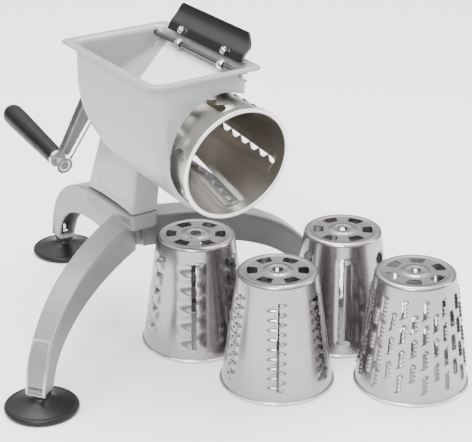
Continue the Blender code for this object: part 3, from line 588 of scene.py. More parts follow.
def slot_outline(left, right, low=LOW, high=HIGH, teeth=None):
    """A slot with rounded ends. teeth(h) moves its right edge."""
    r = (right - left) / 2
    centre = (left + right) / 2
    points = [(centre + r * cos(a), low + r + r * sin(a)) for a in np.linspace(pi, 2 * pi, 9)]
    heights = np.arange(low + r, high - r, 0.6 * MM)
    points += [(right + (teeth(h) if teeth else 0), float(h)) for h in heights[1:]]
    points += [(centre + r * cos(a), high - r + r * sin(a)) for a in np.linspace(0, pi, 9)]
    points += [(left, float(h)) for h in heights[::-2][1:-1]]
    return points


def crinkle_wall():
    left, right, pitch = -2.9 * MM, 2.6 * MM, 17.4 * MM
    start = LOW + 1.0 * MM

    def shape(a, h):
        if a >= right - 1.3 * MM:
            up = (0.9 + 2.5 * wave(h, start, pitch) ** 0.7) * MM * dome((a - right) / (9.0 * MM), 1.2)
            return up * ends(h), 0
        if a <= left + 0.2 * MM:
            t = min((left - a) / (13.0 * MM), 1)
            point = max(wave(h, start, pitch) - t * 0.75, 0)
            return -3.0 * MM * point ** 1.1 * (1 - max(t, 0)) ** 0.5 * ends(h), 0
        return 0, 0

    slot = slot_outline(left, right, teeth=lambda h: 0.9 * MM * (0.5 - wave(h, start, pitch)))
    fine = [((-16 * MM, 13 * MM), (LOW - 2 * MM, HIGH + 2 * MM), 1.15 * MM)]
    return wall_sector(30, SAMPLES, [slot], shape, fine)


def julienne_wall():
    left, right, pitch = -1.7 * MM, 1.3 * MM, 9.1 * MM
    start = LOW + 1.5 * MM

    def shape(a, h):
        if a >= right - 1.0 * MM:
            t = (a - right) / (6.6 * MM)
            lip = ease((wave(h, start, pitch) - 0.18) / 0.42)
            return 2.1 * MM * lip * dome(t, 0.8) * ends(h), -0.5 * MM * lip * max(1 - t, 0)
        if a <= left + 0.2 * MM:
            t = min(max((left - a) / (9.0 * MM), 0), 1)
            groove = ease((wave(h, start, pitch) - 0.55) / 0.40)
            return -1.7 * MM * groove * (1 - t) ** 0.6 * ends(h), 0
        return 0, 0

    slot = slot_outline(left, right)
    fine = [((-12 * MM, 9 * MM), (LOW - 1 * MM, HIGH + 1 * MM), 0.95 * MM)]
    return wall_sector(30, SAMPLES, [slot], shape, fine)


def slicing_wall():
    left, right = -3.0 * MM, 2.4 * MM

    def shape(a, h):
        if a >= right - 0.8 * MM:
            t = (a - right) / (7.2 * MM)
            return 2.9 * MM * dome(t, 0.7) * ends(h, 0.007), -0.9 * MM * max(1 - t, 0) * ends(h, 0.007)
        if a <= left:
            t = min((left - a) / (5.0 * MM), 1)
            return -0.7 * MM * (1 - t) ** 2 * ends(h, 0.006), 0
        return 0, 0

    slot = slot_outline(left, right)
    fine = [((-8 * MM, 12 * MM), (LOW - 3 * MM, HIGH + 3 * MM), 1.5 * MM)]
    return wall_sector(30, SAMPLES, [slot], shape, fine)


SHRED_COLUMNS = 26


def shredding_wall():
    """Two neighbouring columns of short toothed slots, half a pitch apart."""
    step = 2 * pi / SHRED_COLUMNS
    pitch, tall = 23.2 * MM, 15.6 * MM
    lows = [(-step / 2, 11.7 * MM + pitch * k) for k in range(4)]
    lows += [(step / 2, 22.3 * MM + pitch * k) for k in range(3)]
    slots, spans, dense = [], [], []
    for theta, low in lows:
        high = low + tall
        outline = slot_outline(-1.5 * MM, 1.2 * MM, low, high, lambda h: 0.75 * MM * (0.6 - wave(h, low, tall / 4)))
        slots.append([(a + theta * wall_r(h), h) for a, h in outline])
        spans.append((theta, low, high))
        middle = theta * wall_r((low + high) / 2)
        dense.append(((middle - 3.6 * MM, middle + 5.0 * MM), (low - 1 * MM, high + 1 * MM), 1.0 * MM))

    def shape(arc, h):
        for theta, low, high in spans:
            a = arc - theta * wall_r(h)
            if low - 0.001 < h < high + 0.001 and -4.0 * MM < a < 5.0 * MM:
                mask = ends(h, 0.0015, low, high)
                if a > 0.3 * MM:
                    up = 0.35 + 1.35 * wave(h, low, tall / 4) ** 0.8
                    return up * MM * dome((a - 1.2 * MM) / (3.4 * MM)) * mask, 0
                if a < -1.3 * MM:
                    t = min((-1.5 * MM - a) / (2.2 * MM), 1)
                    return -0.55 * MM * (1 - max(t, 0)) * mask, 0
        return 0, 0

    return wall_sector(360 / SHRED_COLUMNS, SAMPLES // 2, slots, shape, dense)


def coarse_wall():
    """Coarse triangular teeth along each slot, and a low ridge where the sheet was pushed out."""
    left, right, pitch = -3.2 * MM, 3.0 * MM, 12.8 * MM

    def tooth(h):
        t = ((h - LOW - 6 * MM) / pitch) % 1.0
        return -4.6 * MM * max(0, 1 - abs(t - 0.5) * 3.0) * (LOW + 5 * MM < h < HIGH - 3 * MM)

    def shape(a, h):
        if a >= right - 5.2 * MM and h > LOW - 2 * MM:
            return 3.2 * MM * dome((a - right + 4.6 * MM) / (14.5 * MM), 0.6) * ends(h, 0.006), 0
        if a <= left + 0.2 * MM:
            t = min(max((left - a) / (6.0 * MM), 0), 1)
            return -0.8 * MM * (1 - t) * ends(h), 0
        return 0, 0

    slot = slot_outline(left, right, teeth=tooth)
    fine = [((-10 * MM, 13 * MM), (LOW - 3 * MM, HIGH + 3 * MM), 1.3 * MM)]
    return wall_sector(30, SAMPLES, [slot], shape, fine)


def build_drums():
    place = DRUM_AXIS @ Matrix.Rotation(radians(-13), 4, "Z")
    # The mounted drum's rim gets the paler copy of the rim steel: painted light.
    build_drum(
        "coarse_grating_drum", SECTORS, SAMPLES, coarse_wall(), "mounted_drum", "coarse_drum", place, INNER_STEEL,
        RIM_PAINTED_LIGHT, 0.0020,
    )
    spares = (
        ("crinkle", 0.0350, -0.0645, -34.3, SECTORS, SAMPLES, crinkle_wall),
        ("julienne", 0.0551, -0.1735, -32.9, SECTORS, SAMPLES, julienne_wall),
        ("slicing", 0.1583, -0.1320, -35.5, SECTORS, SAMPLES, slicing_wall),
        ("shredding", 0.1583, -0.2430, -11.4, SHRED_COLUMNS // 2, SAMPLES // 2, shredding_wall),
    )
    for name, x, y, turn, sectors, samples, wall in spares:
        place = Matrix.Translation(HUB + Vector((x, y, 0))) @ Matrix.Rotation(radians(turn), 4, "Z")
        node = f"{name}_drum"
        build_drum(f"{name}_cutting_drum", sectors, samples, wall(), node, node, place, DRUM_STEEL)


build_drums()


# ---------------- castings

RIM_Z, FLANGE_T, OVERHANG = 0.2995, 0.003, 0.008
LEFT_X, RIGHT_X, FRONT_Y, BACK_Y = -0.0543, 0.0416, -0.1474, 0.0020
WALL_T = 0.003
BEND_Z = 0.2665
HOUSING_R = 0.0565
BOTTOM_FRONT_Z, BOTTOM_BACK_Z = 0.1645, 0.1725
EDGE_R, SWEEP_R = 0.012, 0.036
THROAT_R = 0.0530
FLOOR_LEFT_X, FLOOR_T = -0.0200, 0.0025
WINDOW_X, WINDOW_Y, WINDOW_Z = (0.0417, 0.080), (-0.170, -0.045), (0.150, 0.290)
HUB_TOP_Z, HUB_PLATE_Z = 0.1266, 0.1120
PEDESTAL_X, PEDESTAL_FOOT_Y, PEDESTAL_HEAD_Y = (-0.0140, 0.0145), (-0.0290, 0.0600), (-0.0420, 0.0280)
PEDESTAL_HEAD_Z = 0.196
BOLT_YS, BOLT_R = (-0.0140, 0.0420), 0.0028
BOSS_R, BOSS_ROOT_R = 0.0115, 0.0165


def at_hub(x, y, z=0.0):
    return HUB + Vector((x, y, z))


def on_hub(outline):
    """An outline stated from the hub, in the frame's X and Y."""
    return [tuple(at_hub(x, y).xy) for x, y in outline]


def fillet_inset(distance, radius):
    short = max(radius - distance, 0.0)
    return radius - sqrt(radius * radius - short * short)


def housing_ring(y, inset, top_z):
    """The hopper's section at one y, at a distance inside its outer skin."""
    share = (y - FRONT_Y) / (BACK_Y - FRONT_Y)
    low = BOTTOM_FRONT_Z + share * (BOTTOM_BACK_Z - BOTTOM_FRONT_Z)
    from_front, from_back = y - FRONT_Y - inset, BACK_Y - y - inset
    edge = max(EDGE_R - inset, 0.004)
    side = fillet_inset(from_front, edge) + fillet_inset(from_back, edge)
    bottom = fillet_inset(from_front, edge) + fillet_inset(from_back, SWEEP_R - inset)
    left, right = LEFT_X + inset + side, RIGHT_X - inset - side
    low += inset + bottom
    centre_x, centre_z = 0.0134, BOTTOM_FRONT_Z + HOUSING_R
    bulge = HOUSING_R - inset - side
    meet = acos((right - centre_x) / bulge)
    ring = [(left, top_z)]
    for angle in quarter(28):
        ring.append((centre_x - (centre_x - left) * cos(angle), BEND_Z - (BEND_Z - low) * sin(angle)))
    for k in range(1, 29):
        angle = -pi / 2 + (pi / 2 + meet) * k / 28
        depth = centre_z - low if angle < 0 else bulge
        ring.append((centre_x + bulge * cos(angle), centre_z + depth * sin(angle)))
    ring.append((right, top_z))
    return [at_hub(x, y, z) for x, z in ring]


def housing_shell(inset, top_z):
    front, back = FRONT_Y + inset, BACK_Y - inset
    near_front = [front + EDGE_R * (1 - cos(a)) for a in quarter(7)]
    near_back = [back - SWEEP_R * (1 - cos(a)) for a in quarter(12)]
    return loft([housing_ring(y, inset, top_z) for y in near_front + near_back[::-1]])


def rim_rectangle(grow, radii):
    return on_hub(rounded_rectangle((LEFT_X - grow, RIGHT_X + grow), (FRONT_Y - grow, BACK_Y + grow), radii))


def rim_flare(radius):
    """Cuts the rounded edge that leads from the rim down into the hopper."""
    rings = []
    for angle in quarter(8):
        grow = radius * (1 - cos(angle)) - WALL_T
        z = RIM_Z - radius * (1 - sin(angle))
        rings.append([(x, y, z) for x, y in rim_rectangle(grow, (0.0095 + grow,) * 4)])
    rings.append([(x, y, RIM_Z + 0.01) for x, y, z in rings[-1]])
    return loft(rings)


def floor_slope(x):
    return 0.2870 + 0.2309 * (x - 0.0386)


def floor_top(x, y):
    """The floor over the drum: a slope to the left, and a facet that dips towards the back left corner."""
    return min(floor_slope(x), 0.2850 + 0.413 * (x - 0.0399) - 0.219 * (y + 0.001))


def hopper_floor():
    xs = np.linspace(FLOOR_LEFT_X, RIGHT_X - WALL_T / 2, 33)
    ys = np.linspace(FRONT_Y + WALL_T / 2, BACK_Y - WALL_T / 2, 61)
    return slab(*([[at_hub(x, y, floor_top(x, y) - sink) for x in xs] for y in ys] for sink in (0, FLOOR_T)))


def pedestal_body():
    """The pedestal's side outline in YZ, extruded across X with rounded vertical edges and an arched foot."""
    steps, low = 24, HUB_TOP_Z + 0.0003

    def section(grow):
        foot = (PEDESTAL_FOOT_Y[0] - grow, PEDESTAL_FOOT_Y[1] + grow)
        head = (PEDESTAL_HEAD_Y[0] - grow, PEDESTAL_HEAD_Y[1] + grow)
        points = [(head[1], PEDESTAL_HEAD_Z), (head[0], PEDESTAL_HEAD_Z)]
        for k in range(steps + 1):
            share = k / steps
            points.append((foot[0] + share * (foot[1] - foot[0]), low + 0.003 * sin(pi * share)))
        return points

    edge = 0.0025
    rings = [(PEDESTAL_X[0] + edge * (1 - cos(a)), -edge * (1 - sin(a))) for a in quarter(4)]
    far = [(sum(PEDESTAL_X) - x, grow) for x, grow in rings[::-1]]
    return loft([[at_hub(x, y, z) for y, z in section(grow)] for x, grow in rings + far])


def pedestal_hollow():
    low, high, wall = HUB_TOP_Z - 0.01, HUB_TOP_Z + 0.036, 0.0035
    front, back = PEDESTAL_FOOT_Y[0] + wall, PEDESTAL_FOOT_Y[1] - wall
    outline = [(front, low), (back, low), (back - 0.020, high), (front, high)]
    return loft([[at_hub(x, y, z) for y, z in outline] for x in (PEDESTAL_X[0] + wall, PEDESTAL_X[1] - wall)])


def cylinder(radius, low, high, count=48):
    return lathe([(0, low), (radius, low), (radius, high), (0, high)], count)


def ridge(points, width, height, normal):
    """A low rounded rib along points on a surface, half sunk in it."""
    rings = []
    count = len(points) - 1
    for k, point in enumerate(points):
        along = (Vector(points[min(k + 1, count)]) - Vector(points[max(k - 1, 0)])).normalized()
        side = along.cross(Vector(normal)).normalized()
        share = sin(pi * min(max(k / count, 0.04), 0.96)) ** 0.4
        across, up = side * (width / 2 * share), Vector(normal) * (height * share)
        rings.append([Vector(point) + across * cos(a) + up * sin(a) for a in turns(12)])
    return loft(rings)


def build_hopper():
    body = piece("hopper_casting", housing_shell(0, RIM_Z), HOPPER_PAINT, sharp=0)
    cut(body, prism(rim_rectangle(OVERHANG, (0.005, 0.005, 0.015, 0.005)), RIM_Z - FLANGE_T, RIM_Z), "UNION")
    cut(body, pedestal_body(), "UNION")
    cut(body, housing_shell(WALL_T, RIM_Z + 0.01))
    cut(body, rim_flare(0.006))
    cut(body, hopper_floor(), "UNION")
    (x0, x1), (y0, y1) = WINDOW_X, WINDOW_Y
    cut(body, prism(on_hub(((x0, y0), (x1, y0), (x1, y1), (x0, y1))), *WINDOW_Z))
    boss = [
        (0, 0.146), (BOSS_R, 0.146), (BOSS_R, 0.162), (BOSS_ROOT_R, 0.168), (BOSS_ROOT_R, 0.176), (BOSS_R, 0.196),
        (BOSS_R, 0.2095), (0, 0.2095),
    ]
    cut(body, lathe(boss, 64), "UNION", DRUM_AXIS)
    cut(body, cylinder(THROAT_R, -0.02, 0.060, 128), place=DRUM_AXIS)
    cut(body, cylinder(0.0073, 0.13, 0.22), place=DRUM_AXIS)
    cut(body, cylinder(0.0028, -0.165, 0.0125, 32), place=ROD_AXIS)
    cut(body, pedestal_hollow())
    for y in BOLT_YS:
        place = Matrix.Translation(at_hub(0, y))
        cut(body, cylinder(0.006, HUB_TOP_Z + 0.0045, HUB_TOP_Z + 0.040, 32), "UNION", place)
        cut(body, cylinder(BOLT_R, HUB_TOP_Z - 0.01, HUB_TOP_Z + 0.025, 32), place=place)
    soften(body, 0.00085, 5)
    shade_floor(body)
    arc = [at_hub(PEDESTAL_X[0] + 0.0001, y, z) for y, z in ARC]
    piece("pedestal_arc", ridge(arc, 0.0022, 0.0009, (-1, 0, 0)), HOPPER_PAINT, "stand", "hopper_grey", sharp=0)
    return body


def shade_floor(body):
    """Paints light and shade on the floor. The floor plate inside the hopper gets a paler copy of the paint, painted
    light where its top faces the lamps, and a dark strip of painted shade runs between it and the back wall.
    """
    body.data.materials.append(FLOOR_PAINTED_LIGHT)
    body.data.materials.append(SEAM_SHADE)
    for face in body.data.polygons:
        at = body.matrix_world @ face.center - HUB
        if not (FLOOR_LEFT_X < at.x < RIGHT_X - 0.002 and FRONT_Y + 0.0015 < at.y < BACK_Y - 0.001):
            continue
        top = floor_top(at.x, at.y)
        gap = abs(at.z - top)
        if gap < 0.0012 and face.normal.z > 0.5 and top > floor_slope(at.x) - 0.0003:
            # The floor's upward faces get the paler material: painted light.
            face.material_index = 1
        elif gap < 0.0009 and at.y > BACK_Y - WALL_T - 0.0008:
            # A thin strip along the back wall gets the near-black material: painted shade in the crease.
            face.material_index = 2


ARC = [
    (0.0349, 0.1463), (0.0330, 0.1432), (0.0300, 0.1402), (0.0255, 0.1378), (0.0195, 0.1360), (0.0130, 0.1350),
    (0.0060, 0.1346), (-0.0015, 0.1350), (-0.0085, 0.1364), (-0.0150, 0.1384), (-0.0205, 0.1406),
]

# ---------------- tripod

LEGS = {"front": 214.5, "right": 346.4, "back": 83.6}
LEG_REACH, LEG_TOP_Z, INNER_REACH, INNER_Z, ROUNDNESS = 0.198, 0.1175, 0.180, 0.0855, 0.78
LEG_WIDTH = (0.027, 0.0175)
LEG_WALL, STUD_HOLE_R = 0.003, 0.0033
FOOT_Z, FOOT_R, FOOT_PLATE_T = 0.018, 0.187, 0.0045


def leg_curve(reach, height, share):
    angle = pi / 2 * (1 - share)
    return reach * cos(angle) ** ROUNDNESS, max(height * sin(angle) ** ROUNDNESS, FOOT_Z)


def leg_ring(share):
    """A channel open below, whose top plate has a shallow groove beside each edge."""
    out_r, out_z = leg_curve(LEG_REACH, LEG_TOP_Z, share)
    in_r, in_z = leg_curve(INNER_REACH, INNER_Z, share)
    half = (LEG_WIDTH[0] + (LEG_WIDTH[1] - LEG_WIDTH[0]) * share) / 2
    depth = hypot(out_r - in_r, out_z - in_z)
    plate = LEG_WALL / depth
    top_r, top_z = out_r + (in_r - out_r) * plate, out_z + (in_z - out_z) * plate
    thin = half - LEG_WALL

    def at(side, sink):
        share_in = sink / depth
        return (out_r + (in_r - out_r) * share_in, side, out_z + (in_z - out_z) * share_in)

    side = [at(half - 0.0008, 0), at(half, 0.0008), at(half, 0.0030), at(half - 0.0006, 0.0042)]
    side += [(in_r, half - 0.0006, in_z), (in_r, thin, in_z), (top_r, thin, top_z)]
    return side + [(r, -y, z) for r, y, z in side[::-1]]


def leg_axis(direction):
    return Matrix.Translation(HUB) @ Matrix.Rotation(radians(direction), 4, "Z")


def foot_share():
    """How far along its curve the leg's inner edge comes down to the foot."""
    height = (FOOT_Z / INNER_Z) ** (1 / ROUNDNESS)
    return 1 - asin(height) / (pi / 2)


def build_tripod():
    left, right = PEDESTAL_X[0] - 0.003, PEDESTAL_X[1] + 0.003
    span = (PEDESTAL_FOOT_Y[0] - 0.003, PEDESTAL_FOOT_Y[1] + 0.002)
    plate = rounded_rectangle((left, right), span, (0.005, 0.005, 0.005, 0.012))
    body = piece("tripod_casting", prism(on_hub(plate), HUB_PLATE_Z, HUB_TOP_Z), TRIPOD_PAINT, sharp=0)
    last = foot_share()
    for direction in LEGS.values():
        place = leg_axis(direction)
        shares = [0.012 + (last - 0.012) * k / 48 for k in range(49)]
        cut(body, loft([leg_ring(share) for share in shares]), "UNION", place)
        half = LEG_WIDTH[1] / 2
        pad = rounded_rectangle((FOOT_R - 0.0095, LEG_REACH - 0.001), (-half, half), (0.002,) * 4, 4)
        cut(body, prism(pad, FOOT_Z, FOOT_Z + FOOT_PLATE_T), "UNION", place)
        hole = place @ Matrix.Translation((FOOT_R, 0, 0))
        cut(body, cylinder(STUD_HOLE_R, FOOT_Z - 0.01, FOOT_Z + 0.01, 32), place=hole)
    cut(body, cylinder(0.017, INNER_Z, HUB_PLATE_Z + 0.002, 64), "UNION", Matrix.Translation(HUB))
    for y in BOLT_YS:
        place = Matrix.Translation(at_hub(0, y))
        cut(body, cylinder(BOLT_R, INNER_Z - 0.01, HUB_TOP_Z + 0.01, 32), place=place)
        cut(body, cylinder(0.0058, INNER_Z - 0.02, HUB_PLATE_Z + 0.003, 32), place=place)
    soften(body, 0.0009, 4)
    return body


def build_end_plate(name, direction):
    """Raised bright borders on the outside of a leg's foot: two sides, a top and a bottom edge."""
    curve = [leg_curve(LEG_REACH, LEG_TOP_Z, 0.40 + 0.60 * k / 240) for k in range(240)]
    outer = [point for point in curve if FOOT_Z < point[1] < 0.066]
    outer += [next(point for point in curve if point[1] <= FOOT_Z), (LEG_REACH, FOOT_Z)]
    half, root = LEG_WIDTH[1] / 2 + 0.0010, 0.0015
    bars = bmesh.new()

    def strip(y0, y1, proud, points):
        bevel = proud * 0.5
        section = [(-root, y0), (proud - bevel, y0), (proud, y0 + bevel)]
        section += [(proud, y1 - bevel), (proud - bevel, y1), (-root, y1)]
        loft([[(r + out, y, z) for out, y in section] for r, z in points], bm=bars)

    strip(-half, -half + 0.0026, 0.0010, outer)
    strip(half - 0.0026, half, 0.0010, outer)
    top = [point for point in outer if point[1] > 0.0635]
    bottom = [(LEG_REACH, FOOT_Z + up) for up in (0.0014, 0.0002)]
    for points in (top, bottom):
        strip(-half + 0.0010, half - 0.0010, 0.0006, points)
    piece(f"foot_border_{name}", bars, ARM_CAST, "stand", "tripod_grey", leg_axis(direction), sharp=30)


def build_cup(name, place):
    top = FOOT_Z - GAP
    profile = [
        (0, 0.0072), (0.0200, 0.0045, 0.003), (0.0300, 0.0, 0.0004), (0.0332, 0.0, 0.0006), (0.0340, 0.0012, 0.0008),
        (0.0340, 0.0040, 0.0010), (0.0318, 0.0058, 0.0010), (0.0300, 0.0054, 0.0008), (0.0150, 0.0102, 0.004),
        (0.0112, 0.0122, 0.0015), (0.0095, 0.0140, 0.0012), (0.0095, top, 0.0006), (STUD_HOLE_R, top, 0.0002),
        (STUD_HOLE_R, 0.0100), (0, 0.0100),
    ]
    cup = lathe(rounded(profile, 0.0004, 5), 128)
    piece(f"{name}_suction_cup", cup, CUP_RUBBER, "stand", "black_rubber", place, replace=(f"suction_cup_{name}",))
    seat = FOOT_Z + FOOT_PLATE_T + GAP
    bright(f"{name}_cup_nut", hex_solid(0.0085, STUD_HOLE_R, seat, seat + 0.0040), "stand", place, f"cup_nut_{name}")
    stud = rounded([(0, 0.0103), (0.003, 0.0103), (0.003, 0.033, 0.0006), (0, 0.033)], 0.0001)
    bright(f"{name}_cup_stud", lathe(stud, 48), "stand", place, f"cup_stud_{name}")


def build_stand():
    hand_over(build_hopper(), "stand", "hopper_grey", "hopper_body")
    hand_over(build_tripod(), "stand", "tripod_grey", "tripod_base")
    for name, direction in LEGS.items():
        build_cup(name, leg_axis(direction) @ Matrix.Translation((FOOT_R, 0, 0)))
        build_end_plate(name, direction)


# ---------------- crank

ARM_AT, GRIP_AT = (0.2210, 0.2285), (0.2350, 0.3380)
SHAFT_HOLE_R, SPINDLE_HOLE_R = 0.0043, 0.0035


def capsule(first, first_r, second, second_r, steps=32):
    """The outline round two circles on local Y."""
    lean = asin((first_r - second_r) / (second - first))
    outline = []
    for k in range(steps + 1):
        angle = lean + (pi - 2 * lean) * k / steps
        outline.append((second_r * cos(angle), second + second_r * sin(angle)))
    for k in range(steps + 1):
        angle = pi - lean + (pi + 2 * lean) * k / steps
        outline.append((first_r * cos(angle), first + first_r * sin(angle)))
    return outline


def build_arm():
    """One casting with a boss at each end and a sunk web between them on the side towards the hopper."""
    web = prism(capsule(0.022, 0.0095, CRANK_R - 0.0125, 0.0045), 0.217, 0.2240)
    arm = prism(capsule(0, 0.0140, CRANK_R, 0.0066), *ARM_AT)
    arm = piece("crank_arm_casting", arm, [ARM_CAST, ARM_WEB_SHADE], place=ARM_AXIS, sharp=0)
    cut(arm, web, place=ARM_AXIS)
    cut(arm, cylinder(0.0130, 0.2125, 0.2265, 96), "UNION", ARM_AXIS)
    cut(arm, cylinder(SHAFT_HOLE_R, 0.2, 0.24), place=ARM_AXIS)
    cut(arm, cylinder(0.0086, 0.2170, 0.2310, 96), "UNION", GRIP_AXIS)
    cut(arm, cylinder(SPINDLE_HOLE_R, 0.2, 0.24), place=GRIP_AXIS)
    cut(arm, cylinder(0.0052, 0.2, ARM_AT[0]), place=GRIP_AXIS)
    soften(arm, 0.0005, 3)
    to_axis = ARM_AXIS.inverted() @ arm.matrix_world
    for face in arm.data.polygons:
        at = to_axis @ face.center
        # Faces on the sunk web's floor get the darker material: painted shade in the recess.
        in_shaded_web = 0.2236 < at.z < 0.2246 and 0.0150 < at.y < CRANK_R - 0.008 and abs(at.x) < 0.0105
        face.material_index = int(in_shaded_web)
    hand_over(arm, "crank", "cast_aluminium", "crank_arm")


def build_crank():
    build_arm()
    bright("crank_hub_nut", hex_solid(0.0100, SHAFT_HOLE_R, 0.2288, 0.2340), "crank", ARM_AXIS, "crank_nut")
    head = [
        (0, 0.2186), (0.0020, 0.2186, 0.0), (0.0020, 0.2170, 0.0001), (0.0049, 0.2170, 0.0004),
        (0.0049, 0.2207, 0.0002), (0.0032, 0.2207, 0.0), (0.0032, 0.326, 0.0), (0, 0.326),
    ]
    bright("grip_spindle_pin", lathe(rounded(head, 0.0), 48), "crank", GRIP_AXIS, "grip_spindle", ARM_CAST)
    collar = [(0.0086, 0.2313), (0.0086, 0.2347), (SPINDLE_HOLE_R, 0.2347), (SPINDLE_HOLE_R, 0.2313)]
    bright("grip_end_collar", lathe(rounded(collar, 0.0006), 72), "crank", GRIP_AXIS, "grip_collar")
    low, high, bore = *GRIP_AT, 0.0036
    grip = [
        (0, high - 0.009), (bore, high - 0.009), (bore, low), (0.0080, low, 0.0004), (0.0088, low + 0.0012, 0.0008),
        (0.00935, 0.2612, 0.0002), (0.0090, 0.2615, 0.0001), (0.0090, 0.2623, 0.0001), (0.00937, 0.2626, 0.0002),
        (0.0108, high - 0.020, 0.006), (0.0107, high - 0.0065, 0.0045), (0.0080, high - 0.0008, 0.005),
        (0.0030, high, 0.002), (0, high),
    ]
    grip = lathe(rounded(grip, 0.0001, 8), 128)
    piece("crank_grip", grip, GRIP_BLACK, "grip", "grip_black", GRIP_AXIS, replace=("grip",))
    washer = [(0.0100, 0.2105), (0.0100, 0.2120), (SHAFT_HOLE_R, 0.2120), (SHAFT_HOLE_R, 0.2105)]
    bright("crank_washer", lathe(rounded(washer, 0.0003), 64), "crank", DRUM_AXIS, "thrust_washer")


# ---------------- presser

LEAN = radians(27)
ALONG = Vector((sin(LEAN), 0, cos(LEAN)))
ACROSS = Vector((-cos(LEAN), 0, sin(LEAN)))
PLATE_T = 0.0022
PLATE_YS = (-0.1430, -0.0194)
EYE_YS = {"front": -0.1154, "back": -0.0434}


def plate_middle():
    """The blade's centre line (along, across) from the rod: a flat foot, a hollow and a lip bent back."""
    points = [(0.0085, 0.0022), (0.0125, 0.0022), (0.0160, 0.0021)]
    for k in range(1, 15):
        share = k / 14
        points.append((0.0160 + 0.0145 * share, 0.0021 - 0.0036 * sin(pi / 2 * share) ** 1.3))
    for k in range(1, 8):
        share = k / 7
        points.append((0.0305 + 0.0055 * share, -0.0015 + 0.0010 * share * share - 0.0004 * share))
    return points


def plate_span(y, foot, tip):
    """The plate's lower and upper edge at y: a slanted front corner, a round back one and a nipped foot."""
    from_front, from_back = y - PLATE_YS[0], PLATE_YS[1] - y
    slant, corner_r, nip = 0.0115, 0.0060, 0.003
    tip -= max(slant - from_front, 0)
    tip -= fillet_inset(from_back, corner_r)
    return foot + max(nip - from_front, 0), tip


def build_plate():
    along, across = ALONG, ACROSS
    us, vs = zip(*plate_middle())
    count = 30
    middle = []
    for y in np.linspace(*PLATE_YS, 90):
        foot, tip = plate_span(y, us[0], us[-1])
        row = [foot + (tip - foot) * k / count for k in range(count + 1)]
        middle.append([ROD + along * u + across * float(np.interp(u, us, vs)) + Vector((0, y, 0)) for u in row])
    sides = ([[point + across * half for point in row] for row in middle] for half in (PLATE_T / 2, -PLATE_T / 2))
    plate = piece("presser_blade", slab(*sides), PLATE_BLACK, sharp=0)
    for y in EYE_YS.values():
        cut(plate, cylinder(0.0023, -0.01, 0.01, 32), place=seat_frame(y))
    edge = plate.modifiers.new("edge", "BEVEL")
    edge.width, edge.segments, edge.limit_method, edge.angle_limit = 0.0007, 3, "ANGLE", radians(50)
    apply_modifiers(plate)
    plate.data.shade_smooth()
    plate.data.set_sharp_from_angle(angle=radians(60))
    hand_over(plate, "presser", "presser_black", "presser_plate")


def seat_frame(y):
    """On a plate bolt: local Z runs through the plate towards the hopper's left."""
    at = ROD + ALONG * 0.0125 + ACROSS * 0.0022 + Vector((0, y, 0))
    return basis(ACROSS.cross(Vector((0, 1, 0))) * -1, Vector((0, 1, 0)), ACROSS, at)


def build_rod_end(side, tip, inner, mouth, chamfer):
    profile = [(0, tip), (0.0024, tip), (0.0033, tip + chamfer), (0.0033, mouth)]
    profile += [(0.0028, mouth), (0.0028, inner), (0, inner)]
    bright(f"rod_end_{side}", lathe(profile, 48), "presser", ROD_AXIS, f"rod_cap_{side}")


def build_presser():
    build_plate()
    low, high = -0.1524, 0.0071
    rod = rounded([(0, low), (0.0025, low, 0.0005), (0.0025, high, 0.0005), (0, high)], 0.0)
    bright("presser_rod", lathe(rod, 64), "presser", ROD_AXIS, "pivot_rod", ROD_STEEL)
    build_rod_end("front", low - 0.0010, low - GAP, FRONT_Y - GAP, 0.0009)
    build_rod_end("back", high + 0.0010, high + GAP, BACK_Y + GAP, -0.0009)
    for side, y in EYE_YS.items():
        place = ROD_AXIS @ Matrix.Rotation(pi / 2 - LEAN, 4, "Z")
        eye = hex_solid(0.0090, 0.0028, y - 0.0035, y + 0.0035, 0.0007)
        bright(f"presser_eye_{side}", eye, "presser", place, f"rod_eye_{side}")
        place, face = seat_frame(y), PLATE_T / 2 + GAP
        bolt = [
            (0, -face - 0.0030), (0.0022, -face - 0.0029), (0.0033, -face - 0.0020), (0.0036, -face - 0.0004),
            (0.0036, -face), (0.0020, -face), (0.0020, face + 0.0036), (0.0016, face + 0.0040), (0, face + 0.0040),
        ]
        bright(f"plate_screw_{side}", lathe(bolt, 48), "presser", place, f"plate_bolt_{side}")
        nut = hex_solid(0.0068, 0.0023, face, face + 0.0030, 0.0005)
        bright(f"plate_hex_nut_{side}", nut, "presser", place, f"plate_nut_{side}")


build_stand()
build_crank()
build_presser()


# ---------------- carried-over nodes

def dress(made, material, bevel=0.0003):
    """A CAD node whose shape is right: a better material and softly broken edges."""
    made.data.materials.clear()
    made.data.materials.append(material)
    made.data.shade_smooth()
    made.data.set_sharp_from_angle(angle=radians(30))
    edges = made.modifiers.new("broken_edges", "BEVEL")
    edges.width, edges.segments, edges.limit_method = bevel, 2, "ANGLE"
    edges.angle_limit = radians(30)


for node, made in nodes.items():
    if not made.hide_render:
        dress(made, {"drive_head": ARM_CAST, "shaft_bush": BRONZE}.get(node, CHROME))


# ---------------- floor, light and camera

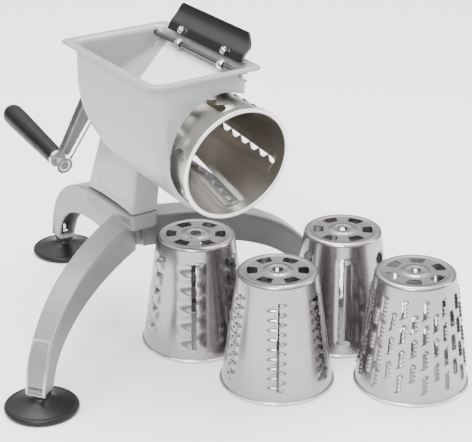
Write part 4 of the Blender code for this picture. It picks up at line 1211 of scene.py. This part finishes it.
def area(name, at, towards, size, power):
    data = bpy.data.lights.new(name, "AREA")
    data.shape, data.size, data.size_y = "RECTANGLE", *size
    data.energy = power
    direction = Vector(towards) - Vector(at)
    link_new(name, data).matrix_world = Matrix.Translation(at) @ direction.to_track_quat("-Z", "Y").to_matrix().to_4x4()


def build_stage():
    """A wide plain disc just under the cups."""
    pale, level = Nodes("pale_floor"), -0.0004
    pale.set(Roughness=0.6, Base_Color=(0.97, 0.97, 0.97, 1))
    disc = lathe([(0, level), (0.6, level), (6.0, level)], 64)
    piece("floor", disc, pale.material, sharp=0)


def build_world():
    """A soft white studio, bright overhead and darker towards the horizon."""
    world = bpy.data.worlds.new("studio")
    bpy.context.scene.world = world
    world.use_nodes = True
    tree = world.node_tree
    sky = tree.nodes["Background"]
    where = tree.nodes.new("ShaderNodeTexCoord")
    split = tree.nodes.new("ShaderNodeSeparateXYZ")
    height = tree.nodes.new("ShaderNodeValToRGB")
    stops = ((0.0, 0.20), (0.30, 0.34), (0.60, 1.0), (1.0, 1.9))
    fill_ramp(height, [(at, (level,) * 3) for at, level in stops])
    tree.links.new(where.outputs["Generated"], split.inputs[0])
    tree.links.new(split.outputs["Z"], height.inputs["Fac"])
    tree.links.new(height.outputs["Color"], sky.inputs["Color"])
    sky.inputs["Strength"].default_value = 1.7


CAMERA_YAW, CAMERA_PITCH = -0.57353, 0.41348


def build_camera():
    data = bpy.data.cameras.new("camera")
    data.lens, data.sensor_width, data.sensor_fit = 126.55, 36, "HORIZONTAL"
    camera = link_new("camera", data)
    aim = Matrix.Rotation(CAMERA_YAW, 4, "Z") @ Matrix.Rotation(pi / 2 - CAMERA_PITCH, 4, "X")
    camera.matrix_world = Matrix.Translation(HUB + Vector((-0.7126, -1.2922, 0.7540))) @ aim
    data.clip_start, data.clip_end = 0.05, 30
    bpy.context.scene.camera = camera


build_stage()
build_world()
build_camera()
area("key", (-1.3, -1.3, 1.9), (0, 0, 0.15), (0.9, 0.9), 62)
area("fill", (1.7, -0.9, 0.9), (0, 0, 0.15), (0.5, 1.3), 14)
area("top", (0.2, 0.5, 2.3), (0, 0, 0.1), (1.6, 1.2), 60)
